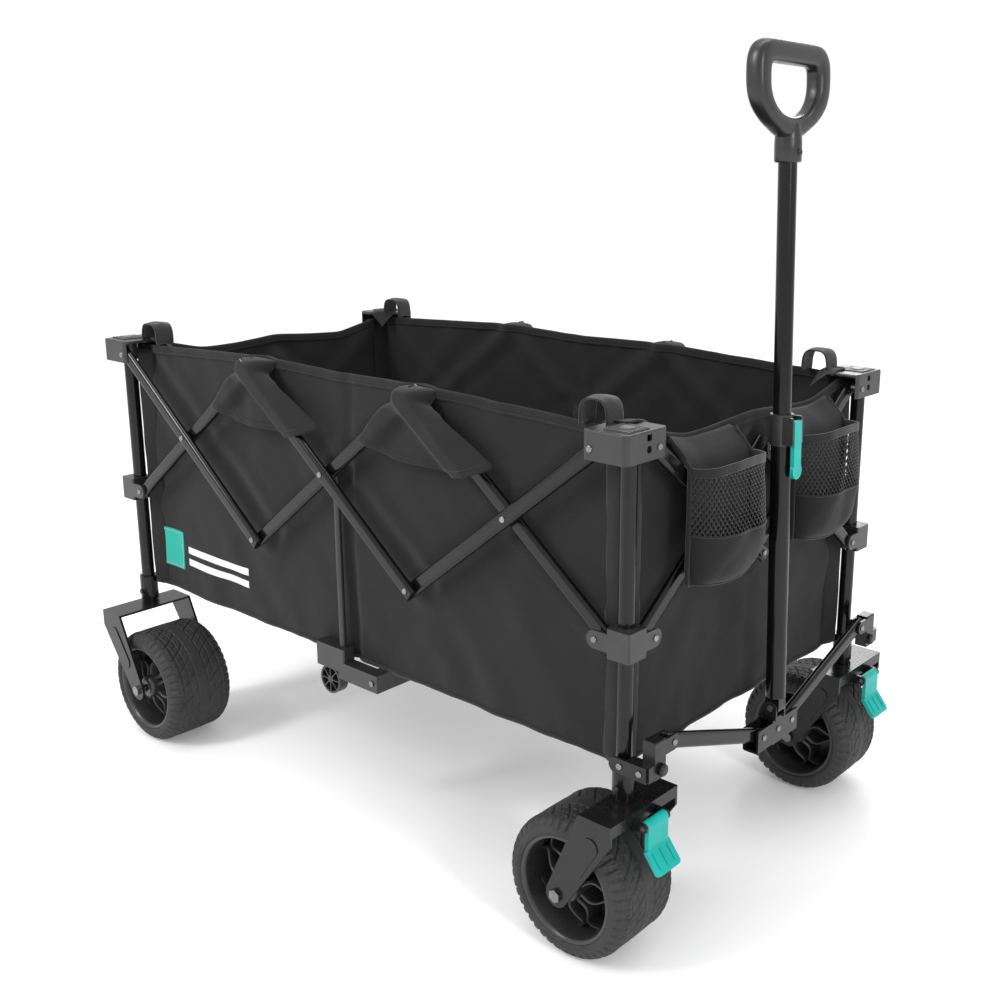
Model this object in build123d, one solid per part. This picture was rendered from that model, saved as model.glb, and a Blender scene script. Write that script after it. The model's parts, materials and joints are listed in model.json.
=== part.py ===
from build123d import *
import os
from math import cos, radians, sin, sqrt

# Four-way folding wagon with a telescopic pull handle. Millimetres, +Z up, +X towards the handle, +Y left.
# The origin is on the ground under the middle of the whole wagon. Pieces are drawn about the middle of the
# four corner posts, which lies ORIGIN_AHEAD behind it, and moved as they are saved.

# Frame layout
POST_PITCH_X = 958.0  # between the front and rear post axes
POST_PITCH_Y = 500.0  # between the left and right post axes
TOP_RIVET_Z = 594.0  # height of the rivets in the corner caps
OPEN_ANGLE = 52.5  # bar angle from vertical with the frame open
OUTER_HALF = 174.0  # bar length from a corner rivet to the crossing rivet
SIDE_INSET = 29.0  # side rivets inboard of the post axis
END_INSET = 27.0  # end rivets inboard of the post axis

# Tubes and bars
POST_D = 19.0
POST_WALL = 1.5
BAR_W = 19.0
BAR_T = 10.0
BAR_WALL = 1.4
BAR_OVER = 9.5  # tube left beyond an end rivet
LAYER_GAP = 0.5  # between bars that cross
PLUG_T = 1.6
PLUG_SPIGOT = 3.5
RIVET_R = 2.5
HEAD_R = 3.9
HEAD_H = 1.8
TAIL_R = 3.5
TAIL_H = 1.2
RUN = 0.06  # radial running clearance of a pin or shaft
FIT = 0.1  # radial clearance of a fixed fit

# Corner caps
CAP_TOP_Z = 614.0
CAP_TOP_T = 4.0
CAP_BOTTOM_Z = 582.0
CAP_SKIRT_T = 3.2
CAP_SIDE_REACH = 40.0  # inboard reach along the side
CAP_END_REACH = 42.0  # inboard reach along the end
CAP_CORNER_R = 7.0
CAP_SOCKET_R = 12.3
CAP_BOSS_R = 6.0
CAP_HOLE_R = 4.0
CAP_HOLE_Y = 9.0  # inboard of the post axis
CAP_NOTCH_Z = 603.0
CAP_NOTCH_H = 7.0
INSERT_SIZE = 34.0
INSERT_T = 1.6
INSERT_RIBS = 6
BUTTON_R = 9.0
BUTTON_H = 2.6

# Sliders
SLIDER_H = 34.0
SLIDER_IN = 12.0  # block reach inboard of the post axis
SLIDER_EAR_T = 3.4
SLIDER_EAR_R = 10.5
SLIDER_CORNER_R = 6.0

# Post feet and front corner brackets
COLLAR_R = 13.2
COLLAR_TOP_Z = 238.0
COLLAR_BOTTOM_Z = 200.0
COLLAR_FLOOR_T = 6.0
STRAP_T = 3.0
STRAP_H = 18.0
STRAP_Z = 243.0
STRAP_REACH = 42.0
BRACKET_TOP_Z = 277.0
BRACKET_BOTTOM_Z = 233.0
BRACKET_SHEET = 3.0
BRACKET_IN = 16.5  # solid part of the bracket inboard of the post axis
BRACKET_OUT = 3.0
ARM_PIVOT_IN = 32.0  # arm pivot inboard of the post axis
ARM_PIVOT_Z = 266.0
ARM_PLANE_X = 36.0  # arm centre plane ahead of the post axis
BUMPER_R = 7.0
BUMPER_H = 6.0

# Forks and wheels
WHEEL_R = 86.0
WHEEL_W = 102.0
RIM_R = 63.0
RIM_WALL = 6.0
RIM_LIP = 4.0
RIM_HALF_W = 43.0
HUB_R = 15.0
HUB_HALF_W = 50.5
SPOKES = 10
SPOKE_T = 4.0
SPOKE_BOW = 16.0
SPOKE_HALF_W = 9.0
TYRE_SHOULDER = 15.0
AXLE_R = 4.0
FORK_SHEET = 3.5
FORK_HALF_W = 60.5
FORK_TOP_Z = 197.0
FORK_BACK = 15.0
FORK_FRONT = 30.0
FORK_LIP_H = 14.0
FORK_LEG_TOP_H = 24.0
FORK_EYE_R = 15.0
FORK_PAD_T = 1.2
FORK_PAD_W = 22.0
STEM_R = 6.0
CASTER_TRAIL = 46.0
REAR_WHEEL_AHEAD = 70.0
REAR_WHEEL_OUT = 12.0
REAR_FORK_BACK = 13.0
REAR_FORK_FRONT = 33.0
PEDAL_W = 36.0
PEDAL_T = 5.0
PEDAL_PIVOT_X = 43.0
PEDAL_PIVOT_Z = 184.0
PEDAL_PIN_R = 3.0
PEDAL_HUB_R = 6.0
PEDAL_DROP = 30.0
PEDAL_TREAD = 30.0
PEDAL_TREAD_ANGLE = 38.0
PEDAL_LUG_T = 3.0

# Middle uprights
ROD_D = 9.0
ROD_EYE_R = 7.5
BLOCK_TOP_Z = 246.0
BLOCK_BOTTOM_Z = 213.0
BLOCK_BACK = 46.0
BLOCK_FRONT = 12.0
BLOCK_T = 20.0
SHOE_R = 20.0
SHOE_T = 14.0
SHOE_Z = 197.0
SHOE_X = -18.0
SHOE_RIBS = 8
BEAM_REACH = 78.0
BEAM_H = 24.0
BEAM_W = 20.0

# Draw arms and yoke
ARM_YOKE_Y = 33.0
YOKE_RIVET_Z = 200.0
YOKE_HALF_W = 46.0
YOKE_BOTTOM_Z = 182.0
YOKE_TOP_Z = 212.0
YOKE_FRONT_X = 47.0
YOKE_BACK_X = 25.0
YOKE_SHEET = 3.0
YOKE_BRIDGE_Z = 217.0
YOKE_BRIDGE_HALF = 13.0

# Handle
HANDLE_AHEAD = 25.9  # handle pivot ahead of the outer face of the front bars
HANDLE_PIVOT_Z = 230.0
HANDLE_LEAN = 1.6  # backward lean at rest
HANDLE_PIN_R = 4.0
TONGUE_HALF_T = 8.0
TONGUE_R = 9.5
LUG_T = 3.0
LUG_GAP = 0.3
LOWER_R = 12.4
UPPER_R = 10.8
UPPER_WALL = 1.5
LOWER_START = 12.5  # these lengths run up the handle from its pivot
CLAMP_START = 330.0
CLAMP_END = 367.0
CLAMP_LIP = 4.0
UPPER_START = 322.0
GRIP_START = 653.0
UPPER_END = 690.0
CLAMP_R = 13.9
CHEEK_IN = 8.5
CHEEK_T = 3.2
CHEEK_X = 22.0
LEVER_HALF_W = 8.0
LEVER_T = 4.4
LEVER_X = 18.0
LEVER_DROP = 56.0
LEVER_HUB_R = 3.7
LEVER_TAB_R = 10.0
LEVER_PIN_R = 2.0
LEVER_PIN_DOWN = 10.0
GRIP_HALF_W = 76.0
GRIP_T = 25.0
GRIP_TOP = 781.0
GRIP_BAR = 24.0
GRIP_SIDE = 38.0
GRIP_OPENING_TOP_HALF = 52.0
GRIP_OPENING_H = 62.0
GRIP_OPENING_LOW_HALF = 30.0
NECK_R = 15.5
GRIP_FILLET = 4.0

# Cloth
CLOTH_T = 2.0
CLOTH_IN = 13.0  # outer cloth face inboard of the post axis
CLOTH_BOTTOM_Z = 228.0
CLOTH_TOP_Z = 609.0
CLOTH_GAP = 0.6
POCKET_OUT = 66.0
POCKET_AHEAD = 4.0  # pocket back ahead of the outer face of the front bars
POCKET_NEAR_Y = 50.0
POCKET_FAR_Y = 172.0
POCKET_BOTTOM_Z = 426.0
POCKET_TOP_Z = 562.0
POCKET_BACK_TOP_Z = 606.0

# Derived layout
HALF_X = POST_PITCH_X / 2
HALF_Y = POST_PITCH_Y / 2
TILT_SIN = sin(radians(OPEN_ANGLE))
TILT_COS = cos(radians(OPEN_ANGLE))
SIDE_INNER = ((POST_PITCH_X - 2 * SIDE_INSET) / TILT_SIN - 2 * OUTER_HALF) / 4
END_INNER = ((POST_PITCH_Y - 2 * END_INSET) / TILT_SIN - 2 * OUTER_HALF) / 2
CROSS_Z = TOP_RIVET_Z - OUTER_HALF * TILT_COS
SLIDER_Z = TOP_RIVET_Z - 2 * OUTER_HALF * TILT_COS
PITCH = BAR_T + LAYER_GAP
EAR_IN = 1.5 * PITCH + LAYER_GAP / 2  # inner face of a slider ear and of an end skirt
SKIRT_IN = 2.5 * PITCH + LAYER_GAP / 2  # inner face of a side skirt
HANDLE_PIVOT_X = PITCH + BAR_T / 2 + HANDLE_AHEAD
POCKET_BACK_X = PITCH + BAR_T / 2 + POCKET_AHEAD
ARM_RISE = ARM_PIVOT_Z - YOKE_RIVET_Z
ARM_SPAN = HALF_Y - ARM_PIVOT_IN - ARM_YOKE_Y
ARM_LENGTH = sqrt(ARM_RISE**2 + ARM_SPAN**2)
REAR_REACH = HALF_X + EAR_IN + SLIDER_EAR_T + HEAD_H
ORIGIN_AHEAD = (HALF_X + POCKET_OUT - REAR_REACH) / 2

os.makedirs("parts", exist_ok=True)


def save(name, *solids):
    """Write one named node, measured from the origin."""
    moved = [Pos(-ORIGIN_AHEAD, 0, 0) * solid for solid in solids]
    export_step(Compound(children=moved), f"parts/{name}.step")


def box(x0, x1, y0, y1, z0, z1):
    """A block between two corners."""
    return Pos((x0 + x1) / 2, (y0 + y1) / 2, (z0 + z1) / 2) * Box(x1 - x0, y1 - y0, z1 - z0)


def rod(p, q, r):
    """A round rod between two points."""
    start, end = Vector(*p), Vector(*q)
    way = end - start
    return extrude(Plane(origin=start, z_dir=way) * Circle(r), way.length)


def rivet(p, out, outer, inner):
    """A rivet through p along the unit vector out, headed at the distances outer and inner from p."""
    plane = Plane(origin=Vector(*p) + Vector(*out) * inner, z_dir=Vector(*out))
    grip = outer - inner
    head = Pos(0, 0, grip + HEAD_H / 2) * Cylinder(HEAD_R, HEAD_H)
    head = fillet(head.edges().group_by(Axis.Z)[-1], HEAD_H * 0.7)
    tail = Pos(0, 0, -TAIL_H / 2) * Cylinder(TAIL_R, TAIL_H)
    shank = Pos(0, 0, grip / 2) * Cylinder(RIVET_R, grip)
    return plane.location * (head + shank + tail)


def mirrored(shapes, fore, left):
    """Shapes drawn for the front right quarter, moved to another quarter."""
    out = []
    for shape in shapes:
        moved = shape
        if not fore:
            moved = mirror(moved, Plane.YZ)
        if left:
            moved = mirror(moved, Plane.XZ)
        out.append(moved)
    return out


def bar(start, end, out, holes, rivets):
    """A flat-oval tube between two end rivets, with plugs. Rivets are (distance, inner reach)."""
    a, b = Vector(*start), Vector(*end)
    way = b - a
    plane = Plane(origin=a, x_dir=way, z_dir=Vector(*out))
    full = way.length + 2 * BAR_OVER - 2 * PLUG_T
    first = PLUG_T - BAR_OVER
    section = SlotOverall(BAR_W, BAR_T)
    hollow = SlotOverall(BAR_W - 2 * BAR_WALL, BAR_T - 2 * BAR_WALL)
    spigot = SlotOverall(BAR_W - 2 * BAR_WALL - 2 * FIT, BAR_T - 2 * BAR_WALL - 2 * FIT)
    tube = extrude(Plane.YZ.offset(first) * (section - hollow), full)
    for d in holes:
        tube -= Pos(d, 0, 0) * Cylinder(RIVET_R + RUN, 2 * BAR_T)
    plug = extrude(Plane.YZ.offset(-BAR_OVER) * section, PLUG_T)
    plug += extrude(Plane.YZ.offset(first) * spigot, PLUG_SPIGOT)
    far = Pos(way.length, 0, 0) * mirror(plug, Plane.YZ)
    pieces = [tube, plug, far]
    placed = [plane.location * piece for piece in pieces]
    for d, reach in rivets:
        at = a + way.normalized() * d
        placed.append(rivet(tuple(at), out, BAR_T / 2, reach))
    return placed


# Side scissors: three crossings, outer ends on the caps and sliders
OUT_R = (0, -1, 0)
ONE = -PITCH - BAR_T / 2 - LAYER_GAP  # rivet reach through the next layer
TWO = -2 * PITCH - BAR_T / 2 - LAYER_GAP  # rivet reach through two layers
XS = HALF_X - SIDE_INSET
LAYER_Y = [-HALF_Y - 2 * PITCH, -HALF_Y - PITCH, -HALF_Y]
LOW_Z = TOP_RIVET_Z - (OUTER_HALF + SIDE_INNER) * TILT_COS
HIGH_Z = TOP_RIVET_Z - (OUTER_HALF - SIDE_INNER) * TILT_COS
JOIN_X = XS - (OUTER_HALF + SIDE_INNER) * TILT_SIN
LONG = OUTER_HALF + SIDE_INNER
MIDDLE = 2 * SIDE_INNER

right_bars = {
    "bar_a1": bar(
        (-XS, LAYER_Y[0], TOP_RIVET_Z),
        (-JOIN_X, LAYER_Y[0], LOW_Z),
        OUT_R,
        [0, OUTER_HALF, LONG],
        [(OUTER_HALF, ONE), (LONG, ONE)],
    ),
    "bar_b1": bar(
        (-XS, LAYER_Y[1], SLIDER_Z),
        (-JOIN_X, LAYER_Y[1], HIGH_Z),
        OUT_R,
        [0, OUTER_HALF, LONG],
        [],
    ),
    "bar_a2": bar(
        (-JOIN_X, LAYER_Y[0], HIGH_Z),
        (JOIN_X, LAYER_Y[0], LOW_Z),
        OUT_R,
        [0, SIDE_INNER, MIDDLE],
        [(0, ONE), (SIDE_INNER, TWO), (MIDDLE, ONE)],
    ),
    "bar_b2": bar(
        (-JOIN_X, LAYER_Y[1], LOW_Z),
        (JOIN_X, LAYER_Y[1], HIGH_Z),
        OUT_R,
        [0, SIDE_INNER, MIDDLE],
        [(MIDDLE, ONE)],
    ),
    "bar_a3": bar(
        (JOIN_X, LAYER_Y[2], HIGH_Z),
        (XS, LAYER_Y[2], SLIDER_Z),
        OUT_R,
        [0, SIDE_INNER, LONG],
        [],
    ),
    "bar_b3": bar(
        (JOIN_X, LAYER_Y[1], LOW_Z),
        (XS, LAYER_Y[1], TOP_RIVET_Z),
        OUT_R,
        [0, SIDE_INNER, LONG],
        [(SIDE_INNER, ONE)],
    ),
}
for key, pieces in right_bars.items():
    save(f"right_{key}", *pieces)
    save(f"left_{key}", *mirrored(pieces, True, True))

# End scissors: two crossings, e bars in the outer layer and f bars in the inner one
OUT_F = (1, 0, 0)
YS = HALF_Y - END_INSET
LAYER_X = [HALF_X + PITCH, HALF_X]
END_LONG = OUTER_HALF + END_INNER
END_LOW_Z = TOP_RIVET_Z - END_LONG * TILT_COS
END_HIGH_Z = TOP_RIVET_Z - (OUTER_HALF - END_INNER) * TILT_COS
front_bars = {
    "bar_e1": bar(
        (LAYER_X[0], -YS, TOP_RIVET_Z),
        (LAYER_X[0], 0, END_LOW_Z),
        OUT_F,
        [0, OUTER_HALF, END_LONG],
        [(OUTER_HALF, ONE), (END_LONG, ONE)],
    ),
    "bar_f1": bar(
        (LAYER_X[1], -YS, SLIDER_Z),
        (LAYER_X[1], 0, END_HIGH_Z),
        OUT_F,
        [0, OUTER_HALF, END_LONG],
        [],
    ),
    "bar_e2": bar(
        (LAYER_X[0], 0, END_HIGH_Z),
        (LAYER_X[0], YS, SLIDER_Z),
        OUT_F,
        [0, END_INNER, END_LONG],
        [(0, ONE), (END_INNER, ONE)],
    ),
    "bar_f2": bar(
        (LAYER_X[1], 0, END_LOW_Z),
        (LAYER_X[1], YS, TOP_RIVET_Z),
        OUT_F,
        [0, END_INNER, END_LONG],
        [],
    ),
}
for key, pieces in front_bars.items():
    save(f"front_{key}", *pieces)
    save(f"rear_{key}", *mirrored(pieces, False, False))


# Corner pieces, drawn for the front right corner
def post():
    """A corner post and the collar pressed over its foot."""
    outer = rod((0, 0, COLLAR_BOTTOM_Z + COLLAR_FLOOR_T), (0, 0, CAP_TOP_Z - CAP_TOP_T), POST_D / 2)
    tube = outer - rod((0, 0, 0), (0, 0, CAP_TOP_Z), POST_D / 2 - POST_WALL)
    collar = rod((0, 0, COLLAR_BOTTOM_Z), (0, 0, COLLAR_TOP_Z), COLLAR_R)
    collar -= rod((0, 0, COLLAR_BOTTOM_Z + COLLAR_FLOOR_T), (0, 0, COLLAR_TOP_Z), POST_D / 2 + FIT)
    collar -= rod((0, 0, 0), (0, 0, COLLAR_TOP_Z), STEM_R + RUN)
    screw_z = COLLAR_BOTTOM_Z + COLLAR_R
    screw = rod((0, -COLLAR_R - HEAD_H, screw_z), (0, -POST_D / 2 - FIT, screw_z), HEAD_R)
    screw -= rod((0, 0, 0), (0, 0, COLLAR_TOP_Z), POST_D / 2 + FIT)
    return [tube, collar + screw]


def cap(side_layer, end_layer):
    """A corner cap with its two rivets. Layers count inwards from the skirt."""
    side_out = SKIRT_IN + CAP_SKIRT_T
    end_out = EAR_IN + CAP_SKIRT_T
    block = box(-CAP_SIDE_REACH, end_out, -side_out, CAP_END_REACH, CAP_BOTTOM_Z, CAP_TOP_Z)
    block = fillet(block.edges().filter_by(Axis.Z), CAP_CORNER_R)
    block = fillet(block.edges().group_by(Axis.Z)[-1], CAP_SKIRT_T * 0.6)
    under = CAP_TOP_Z - CAP_TOP_T
    block -= box(-2 * CAP_SIDE_REACH, EAR_IN, -SKIRT_IN, 2 * CAP_END_REACH, 0, under)
    cut = CAP_SOCKET_R + CAP_CORNER_R
    block -= box(-2 * CAP_SIDE_REACH, -cut, cut, 2 * CAP_END_REACH, 0, 2 * CAP_TOP_Z)
    block -= rod((CAP_SOCKET_R, CAP_HOLE_Y, TOP_RIVET_Z), (2 * end_out, CAP_HOLE_Y, TOP_RIVET_Z), CAP_HOLE_R)
    notch_y0, notch_y1 = CAP_HOLE_Y - CAP_HOLE_R, CAP_HOLE_Y + CAP_HOLE_R
    block -= box(EAR_IN, 2 * end_out, notch_y0, notch_y1, CAP_NOTCH_Z, CAP_NOTCH_Z + CAP_NOTCH_H)
    socket = rod((0, 0, CAP_BOTTOM_Z), (0, 0, under), CAP_SOCKET_R)
    body = block + socket
    side_face = (2.5 - side_layer) * PITCH + LAYER_GAP / 2
    end_face = (1.5 - end_layer) * PITCH + LAYER_GAP / 2
    z = TOP_RIVET_Z
    if side_layer:
        body += rod((-SIDE_INSET, -SKIRT_IN, z), (-SIDE_INSET, -side_face, z), CAP_BOSS_R)
    if end_layer:
        body += rod((EAR_IN, END_INSET, z), (end_face, END_INSET, z), CAP_BOSS_R)
    body -= rod((0, 0, 0), (0, 0, under), POST_D / 2 + FIT)
    side_pin = rivet((-SIDE_INSET, 0, z), OUT_R, side_out, side_face - PITCH - LAYER_GAP)
    end_pin = rivet((0, END_INSET, z), OUT_F, end_out, end_face - PITCH - LAYER_GAP)
    body -= rod((-SIDE_INSET, -2 * side_out, z), (-SIDE_INSET, 0, z), RIVET_R + RUN)
    body -= rod((0, END_INSET, z), (2 * end_out, END_INSET, z), RIVET_R + RUN)
    mid_x = (end_out - CAP_SIDE_REACH) / 2 + CAP_CORNER_R
    mid_y = (CAP_END_REACH - side_out) / 2 - CAP_CORNER_R
    insert = Pos(mid_x, mid_y, CAP_TOP_Z + INSERT_T / 2) * Box(INSERT_SIZE, INSERT_SIZE, INSERT_T)
    pitch = INSERT_SIZE / (INSERT_RIBS + 0.5)
    for i in range(INSERT_RIBS):
        y = mid_y - INSERT_SIZE / 2 + pitch * (i + 0.75)
        insert -= Pos(mid_x, y, CAP_TOP_Z + INSERT_T) * Box(INSERT_SIZE, pitch / 2, INSERT_T)
    button = Pos(mid_x, mid_y, CAP_TOP_Z + BUTTON_H / 2) * Cylinder(BUTTON_R, BUTTON_H)
    insert -= Pos(mid_x, mid_y, CAP_TOP_Z) * Cylinder(BUTTON_R + FIT, 2 * CAP_TOP_T)
    button = fillet(button.edges().group_by(Axis.Z)[-1], BUTTON_H / 3)
    return [body, side_pin, end_pin, insert, button]


def slider(side_layer, end_layer):
    """The collar that runs on a post, with an ear over each bar end. Layers count inwards from the ear."""
    out = EAR_IN + SLIDER_EAR_T
    low, high = SLIDER_Z - SLIDER_H / 2, SLIDER_Z + SLIDER_H / 2
    block = box(-SLIDER_IN, out, -out, SLIDER_IN, low, high)
    block = fillet(block.edges().filter_by(Axis.Z), SLIDER_CORNER_R * 0.4)
    side_ear = box(-SIDE_INSET, 0, -out, -EAR_IN, SLIDER_Z - SLIDER_EAR_R, SLIDER_Z + SLIDER_EAR_R)
    side_ear += rod((-SIDE_INSET, -out, SLIDER_Z), (-SIDE_INSET, -EAR_IN, SLIDER_Z), SLIDER_EAR_R)
    end_ear = box(EAR_IN, out, 0, END_INSET, SLIDER_Z - SLIDER_EAR_R, SLIDER_Z + SLIDER_EAR_R)
    end_ear += rod((EAR_IN, END_INSET, SLIDER_Z), (out, END_INSET, SLIDER_Z), SLIDER_EAR_R)
    body = block + side_ear + end_ear
    side_face = (1.5 - side_layer) * PITCH + LAYER_GAP / 2
    end_face = (1.5 - end_layer) * PITCH + LAYER_GAP / 2
    if side_layer:
        body += rod((-SIDE_INSET, -EAR_IN, SLIDER_Z), (-SIDE_INSET, -side_face, SLIDER_Z), CAP_BOSS_R)
    if end_layer:
        body += rod((EAR_IN, END_INSET, SLIDER_Z), (end_face, END_INSET, SLIDER_Z), CAP_BOSS_R)
    body -= rod((0, 0, 0), (0, 0, CAP_TOP_Z), POST_D / 2 + RUN)
    body -= rod((-SIDE_INSET, -2 * out, SLIDER_Z), (-SIDE_INSET, 0, SLIDER_Z), RIVET_R + RUN)
    body -= rod((0, END_INSET, SLIDER_Z), (2 * out, END_INSET, SLIDER_Z), RIVET_R + RUN)
    side_pin = rivet((-SIDE_INSET, 0, SLIDER_Z), OUT_R, out, side_face - PITCH - LAYER_GAP)
    end_pin = rivet((0, END_INSET, SLIDER_Z), OUT_F, out, end_face - PITCH - LAYER_GAP)
    return [body, side_pin, end_pin]


def hull_plate(circle_at, circle_r, corners, y0, y1):
    """A plate in an XZ plane, hulled round a circle and some corner points."""
    edges = Circle(circle_r).edges()
    edges = [Pos(circle_at[0], circle_at[1]) * edge for edge in edges]
    for i, corner in enumerate(corners):
        following = corners[(i + 1) % len(corners)]
        edges.append(Edge.make_line((*corner, 0), (*following, 0)))
    plane = Plane(origin=(0, y0, 0), x_dir=(1, 0, 0), z_dir=(0, -1, 0))
    return extrude(plane * make_hull(edges), y0 - y1)


def fork(back, front, axle_x, offset):
    """A bent-sheet wheel fork with its stem and axle bolt, about the post axis. Offset is sideways."""
    half = FORK_HALF_W
    inner = half - FORK_SHEET
    low = FORK_TOP_Z - FORK_LEG_TOP_H
    plate = box(-back, front, offset - half, offset + half, FORK_TOP_Z - FORK_SHEET, FORK_TOP_Z)
    lip = box(front - FORK_SHEET, front, offset - half, offset + half, FORK_TOP_Z - FORK_LIP_H, FORK_TOP_Z)
    corners = [(-back, low), (front, low), (front, FORK_TOP_Z), (-back, FORK_TOP_Z)]
    body = plate + lip
    for side in (-1, 1):
        outer_y, inner_y = offset + side * half, offset + side * inner
        high_y, low_y = max(outer_y, inner_y), min(outer_y, inner_y)
        body += hull_plate((axle_x, WHEEL_R), FORK_EYE_R, corners, high_y, low_y)
        top = Vector((front - back) / 2, outer_y, low)
        foot = Vector(axle_x, outer_y, WHEEL_R)
        way = foot - top
        run = way.length - FORK_PAD_W - FORK_EYE_R
        plane = Plane(origin=top + way.normalized() * (run / 2), x_dir=way, z_dir=(0, side, 0))
        body += extrude(plane * SlotOverall(run, FORK_PAD_W), FORK_PAD_T)
    stem = rod((0, 0, FORK_TOP_Z - FORK_SHEET), (0, 0, COLLAR_BOTTOM_Z + COLLAR_FLOOR_T - 1), STEM_R)
    washer = rod((0, 0, FORK_TOP_Z), (0, 0, COLLAR_BOTTOM_Z - FIT), COLLAR_R * 0.8)
    body = body + stem + washer
    near, far = offset - half, offset + half
    body -= rod((axle_x, near - half, WHEEL_R), (axle_x, far + half, WHEEL_R), AXLE_R + RUN)
    bolt = rod((axle_x, near, WHEEL_R), (axle_x, far, WHEEL_R), AXLE_R)
    head_plane = Plane(origin=(axle_x, near, WHEEL_R), z_dir=(0, -1, 0))
    head = extrude(head_plane * RegularPolygon(2 * AXLE_R, 6), AXLE_R)
    nut_plane = Plane(origin=(axle_x, far, WHEEL_R), z_dir=(0, 1, 0))
    nut = extrude(nut_plane * RegularPolygon(2 * AXLE_R, 6), AXLE_R)
    return body, bolt + head + nut


def wheel(axle_x, axle_y):
    """A wide low-profile wheel: a tyre on a spoked rim."""
    tyre = Cylinder(WHEEL_R, WHEEL_W) - Cylinder(RIM_R, 2 * WHEEL_W)
    shoulders = tyre.edges().filter_by(GeomType.CIRCLE).filter_by(lambda e: e.radius > RIM_R + 1)
    tyre = fillet(shoulders, TYRE_SHOULDER)
    barrel = Cylinder(RIM_R - FIT, 2 * RIM_HALF_W) - Cylinder(RIM_R - RIM_WALL, 2 * WHEEL_W)
    for side in (-1, 1):
        lip = Cylinder(RIM_R - FIT, RIM_LIP) - Cylinder(RIM_R - RIM_WALL - RIM_LIP, 2 * RIM_LIP)
        barrel += Pos(0, 0, side * (RIM_HALF_W - RIM_LIP / 2)) * lip
    hub = Cylinder(HUB_R, 2 * HUB_HALF_W)
    reach = RIM_R - RIM_WALL / 2
    start, end = Vector(HUB_R - SPOKE_T, 0), Vector(reach, 0)
    middle = Vector((HUB_R + reach) / 2, SPOKE_BOW / 2)
    path = ThreePointArc(start, middle, end)
    blade = extrude(Plane.XY.offset(-SPOKE_HALF_W) * trace(path, SPOKE_T), 2 * SPOKE_HALF_W)
    rim = barrel + hub
    for i in range(SPOKES):
        rim += Rot(0, 0, 360 / SPOKES * i) * blade
    rim -= Cylinder(AXLE_R + RUN, 2 * WHEEL_W)
    plane = Plane(origin=(axle_x, axle_y, WHEEL_R), x_dir=(1, 0, 0), z_dir=(0, -1, 0))
    return [plane.location * tyre, plane.location * rim]


def front_bracket():
    """The folded bracket ahead of a front post's foot: strap, box, arm ears and bumper."""
    front = ARM_PLANE_X + BAR_T / 2 + LAYER_GAP + BRACKET_SHEET
    back = ARM_PLANE_X - BAR_T / 2 - LAYER_GAP - BRACKET_SHEET
    block = box(back, front, -BRACKET_OUT, BRACKET_IN, BRACKET_BOTTOM_Z, BRACKET_TOP_Z)
    block = fillet(block.edges().filter_by(Axis.Y).group_by(Axis.Z)[-1], BRACKET_SHEET * 0.6)
    ear_r = 3 * BRACKET_SHEET
    body = block
    for x in (back, front - BRACKET_SHEET):
        end_x = x + BRACKET_SHEET
        body += box(x, end_x, 0, ARM_PIVOT_IN, ARM_PIVOT_Z - ear_r, ARM_PIVOT_Z + ear_r)
        body += rod((x, ARM_PIVOT_IN, ARM_PIVOT_Z), (end_x, ARM_PIVOT_IN, ARM_PIVOT_Z), ear_r)
    foot_out = -COLLAR_R - FIT
    low, high = STRAP_Z - STRAP_H / 2, STRAP_Z + STRAP_H / 2
    body += box(COLLAR_R + FIT, front, foot_out, 0, low, high)
    strap = box(0, STRAP_REACH, foot_out - STRAP_T, foot_out, low, high)
    strap += rod((0, foot_out - STRAP_T, STRAP_Z), (0, foot_out, STRAP_Z), STRAP_H / 2)
    body += strap
    body -= rod((0, 0, 0), (0, 0, CAP_TOP_Z), COLLAR_R + FIT)
    body -= rod((0, ARM_PIVOT_IN, ARM_PIVOT_Z), (2 * front, ARM_PIVOT_IN, ARM_PIVOT_Z), RIVET_R + RUN)
    pin = rivet((0, ARM_PIVOT_IN, ARM_PIVOT_Z), OUT_F, front, back)
    bumper_y, bumper_z = BRACKET_IN / 2, BRACKET_BOTTOM_Z + BUMPER_R + BRACKET_SHEET
    bumper = rod((front, bumper_y, bumper_z), (front + BUMPER_H, bumper_y, bumper_z), BUMPER_R)
    bumper = fillet(bumper.edges().group_by(Axis.X)[-1], BUMPER_H / 2)
    screws = []
    for x in (2 * BRACKET_SHEET, STRAP_REACH - 3 * BRACKET_SHEET):
        y = foot_out - STRAP_T
        head = rod((x, y - HEAD_H, STRAP_Z), (x, y, STRAP_Z), HEAD_R)
        screws.append(fillet(head.edges().group_by(Axis.Y)[0], HEAD_H / 2))
    return [body, pin, bumper, *screws]


def pedal_bore():
    """The running hole for the pedal pin."""
    near = (PEDAL_PIVOT_X, -PEDAL_W, PEDAL_PIVOT_Z)
    far = (PEDAL_PIVOT_X, PEDAL_W, PEDAL_PIVOT_Z)
    return rod(near, far, PEDAL_PIN_R + RUN)


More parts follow.
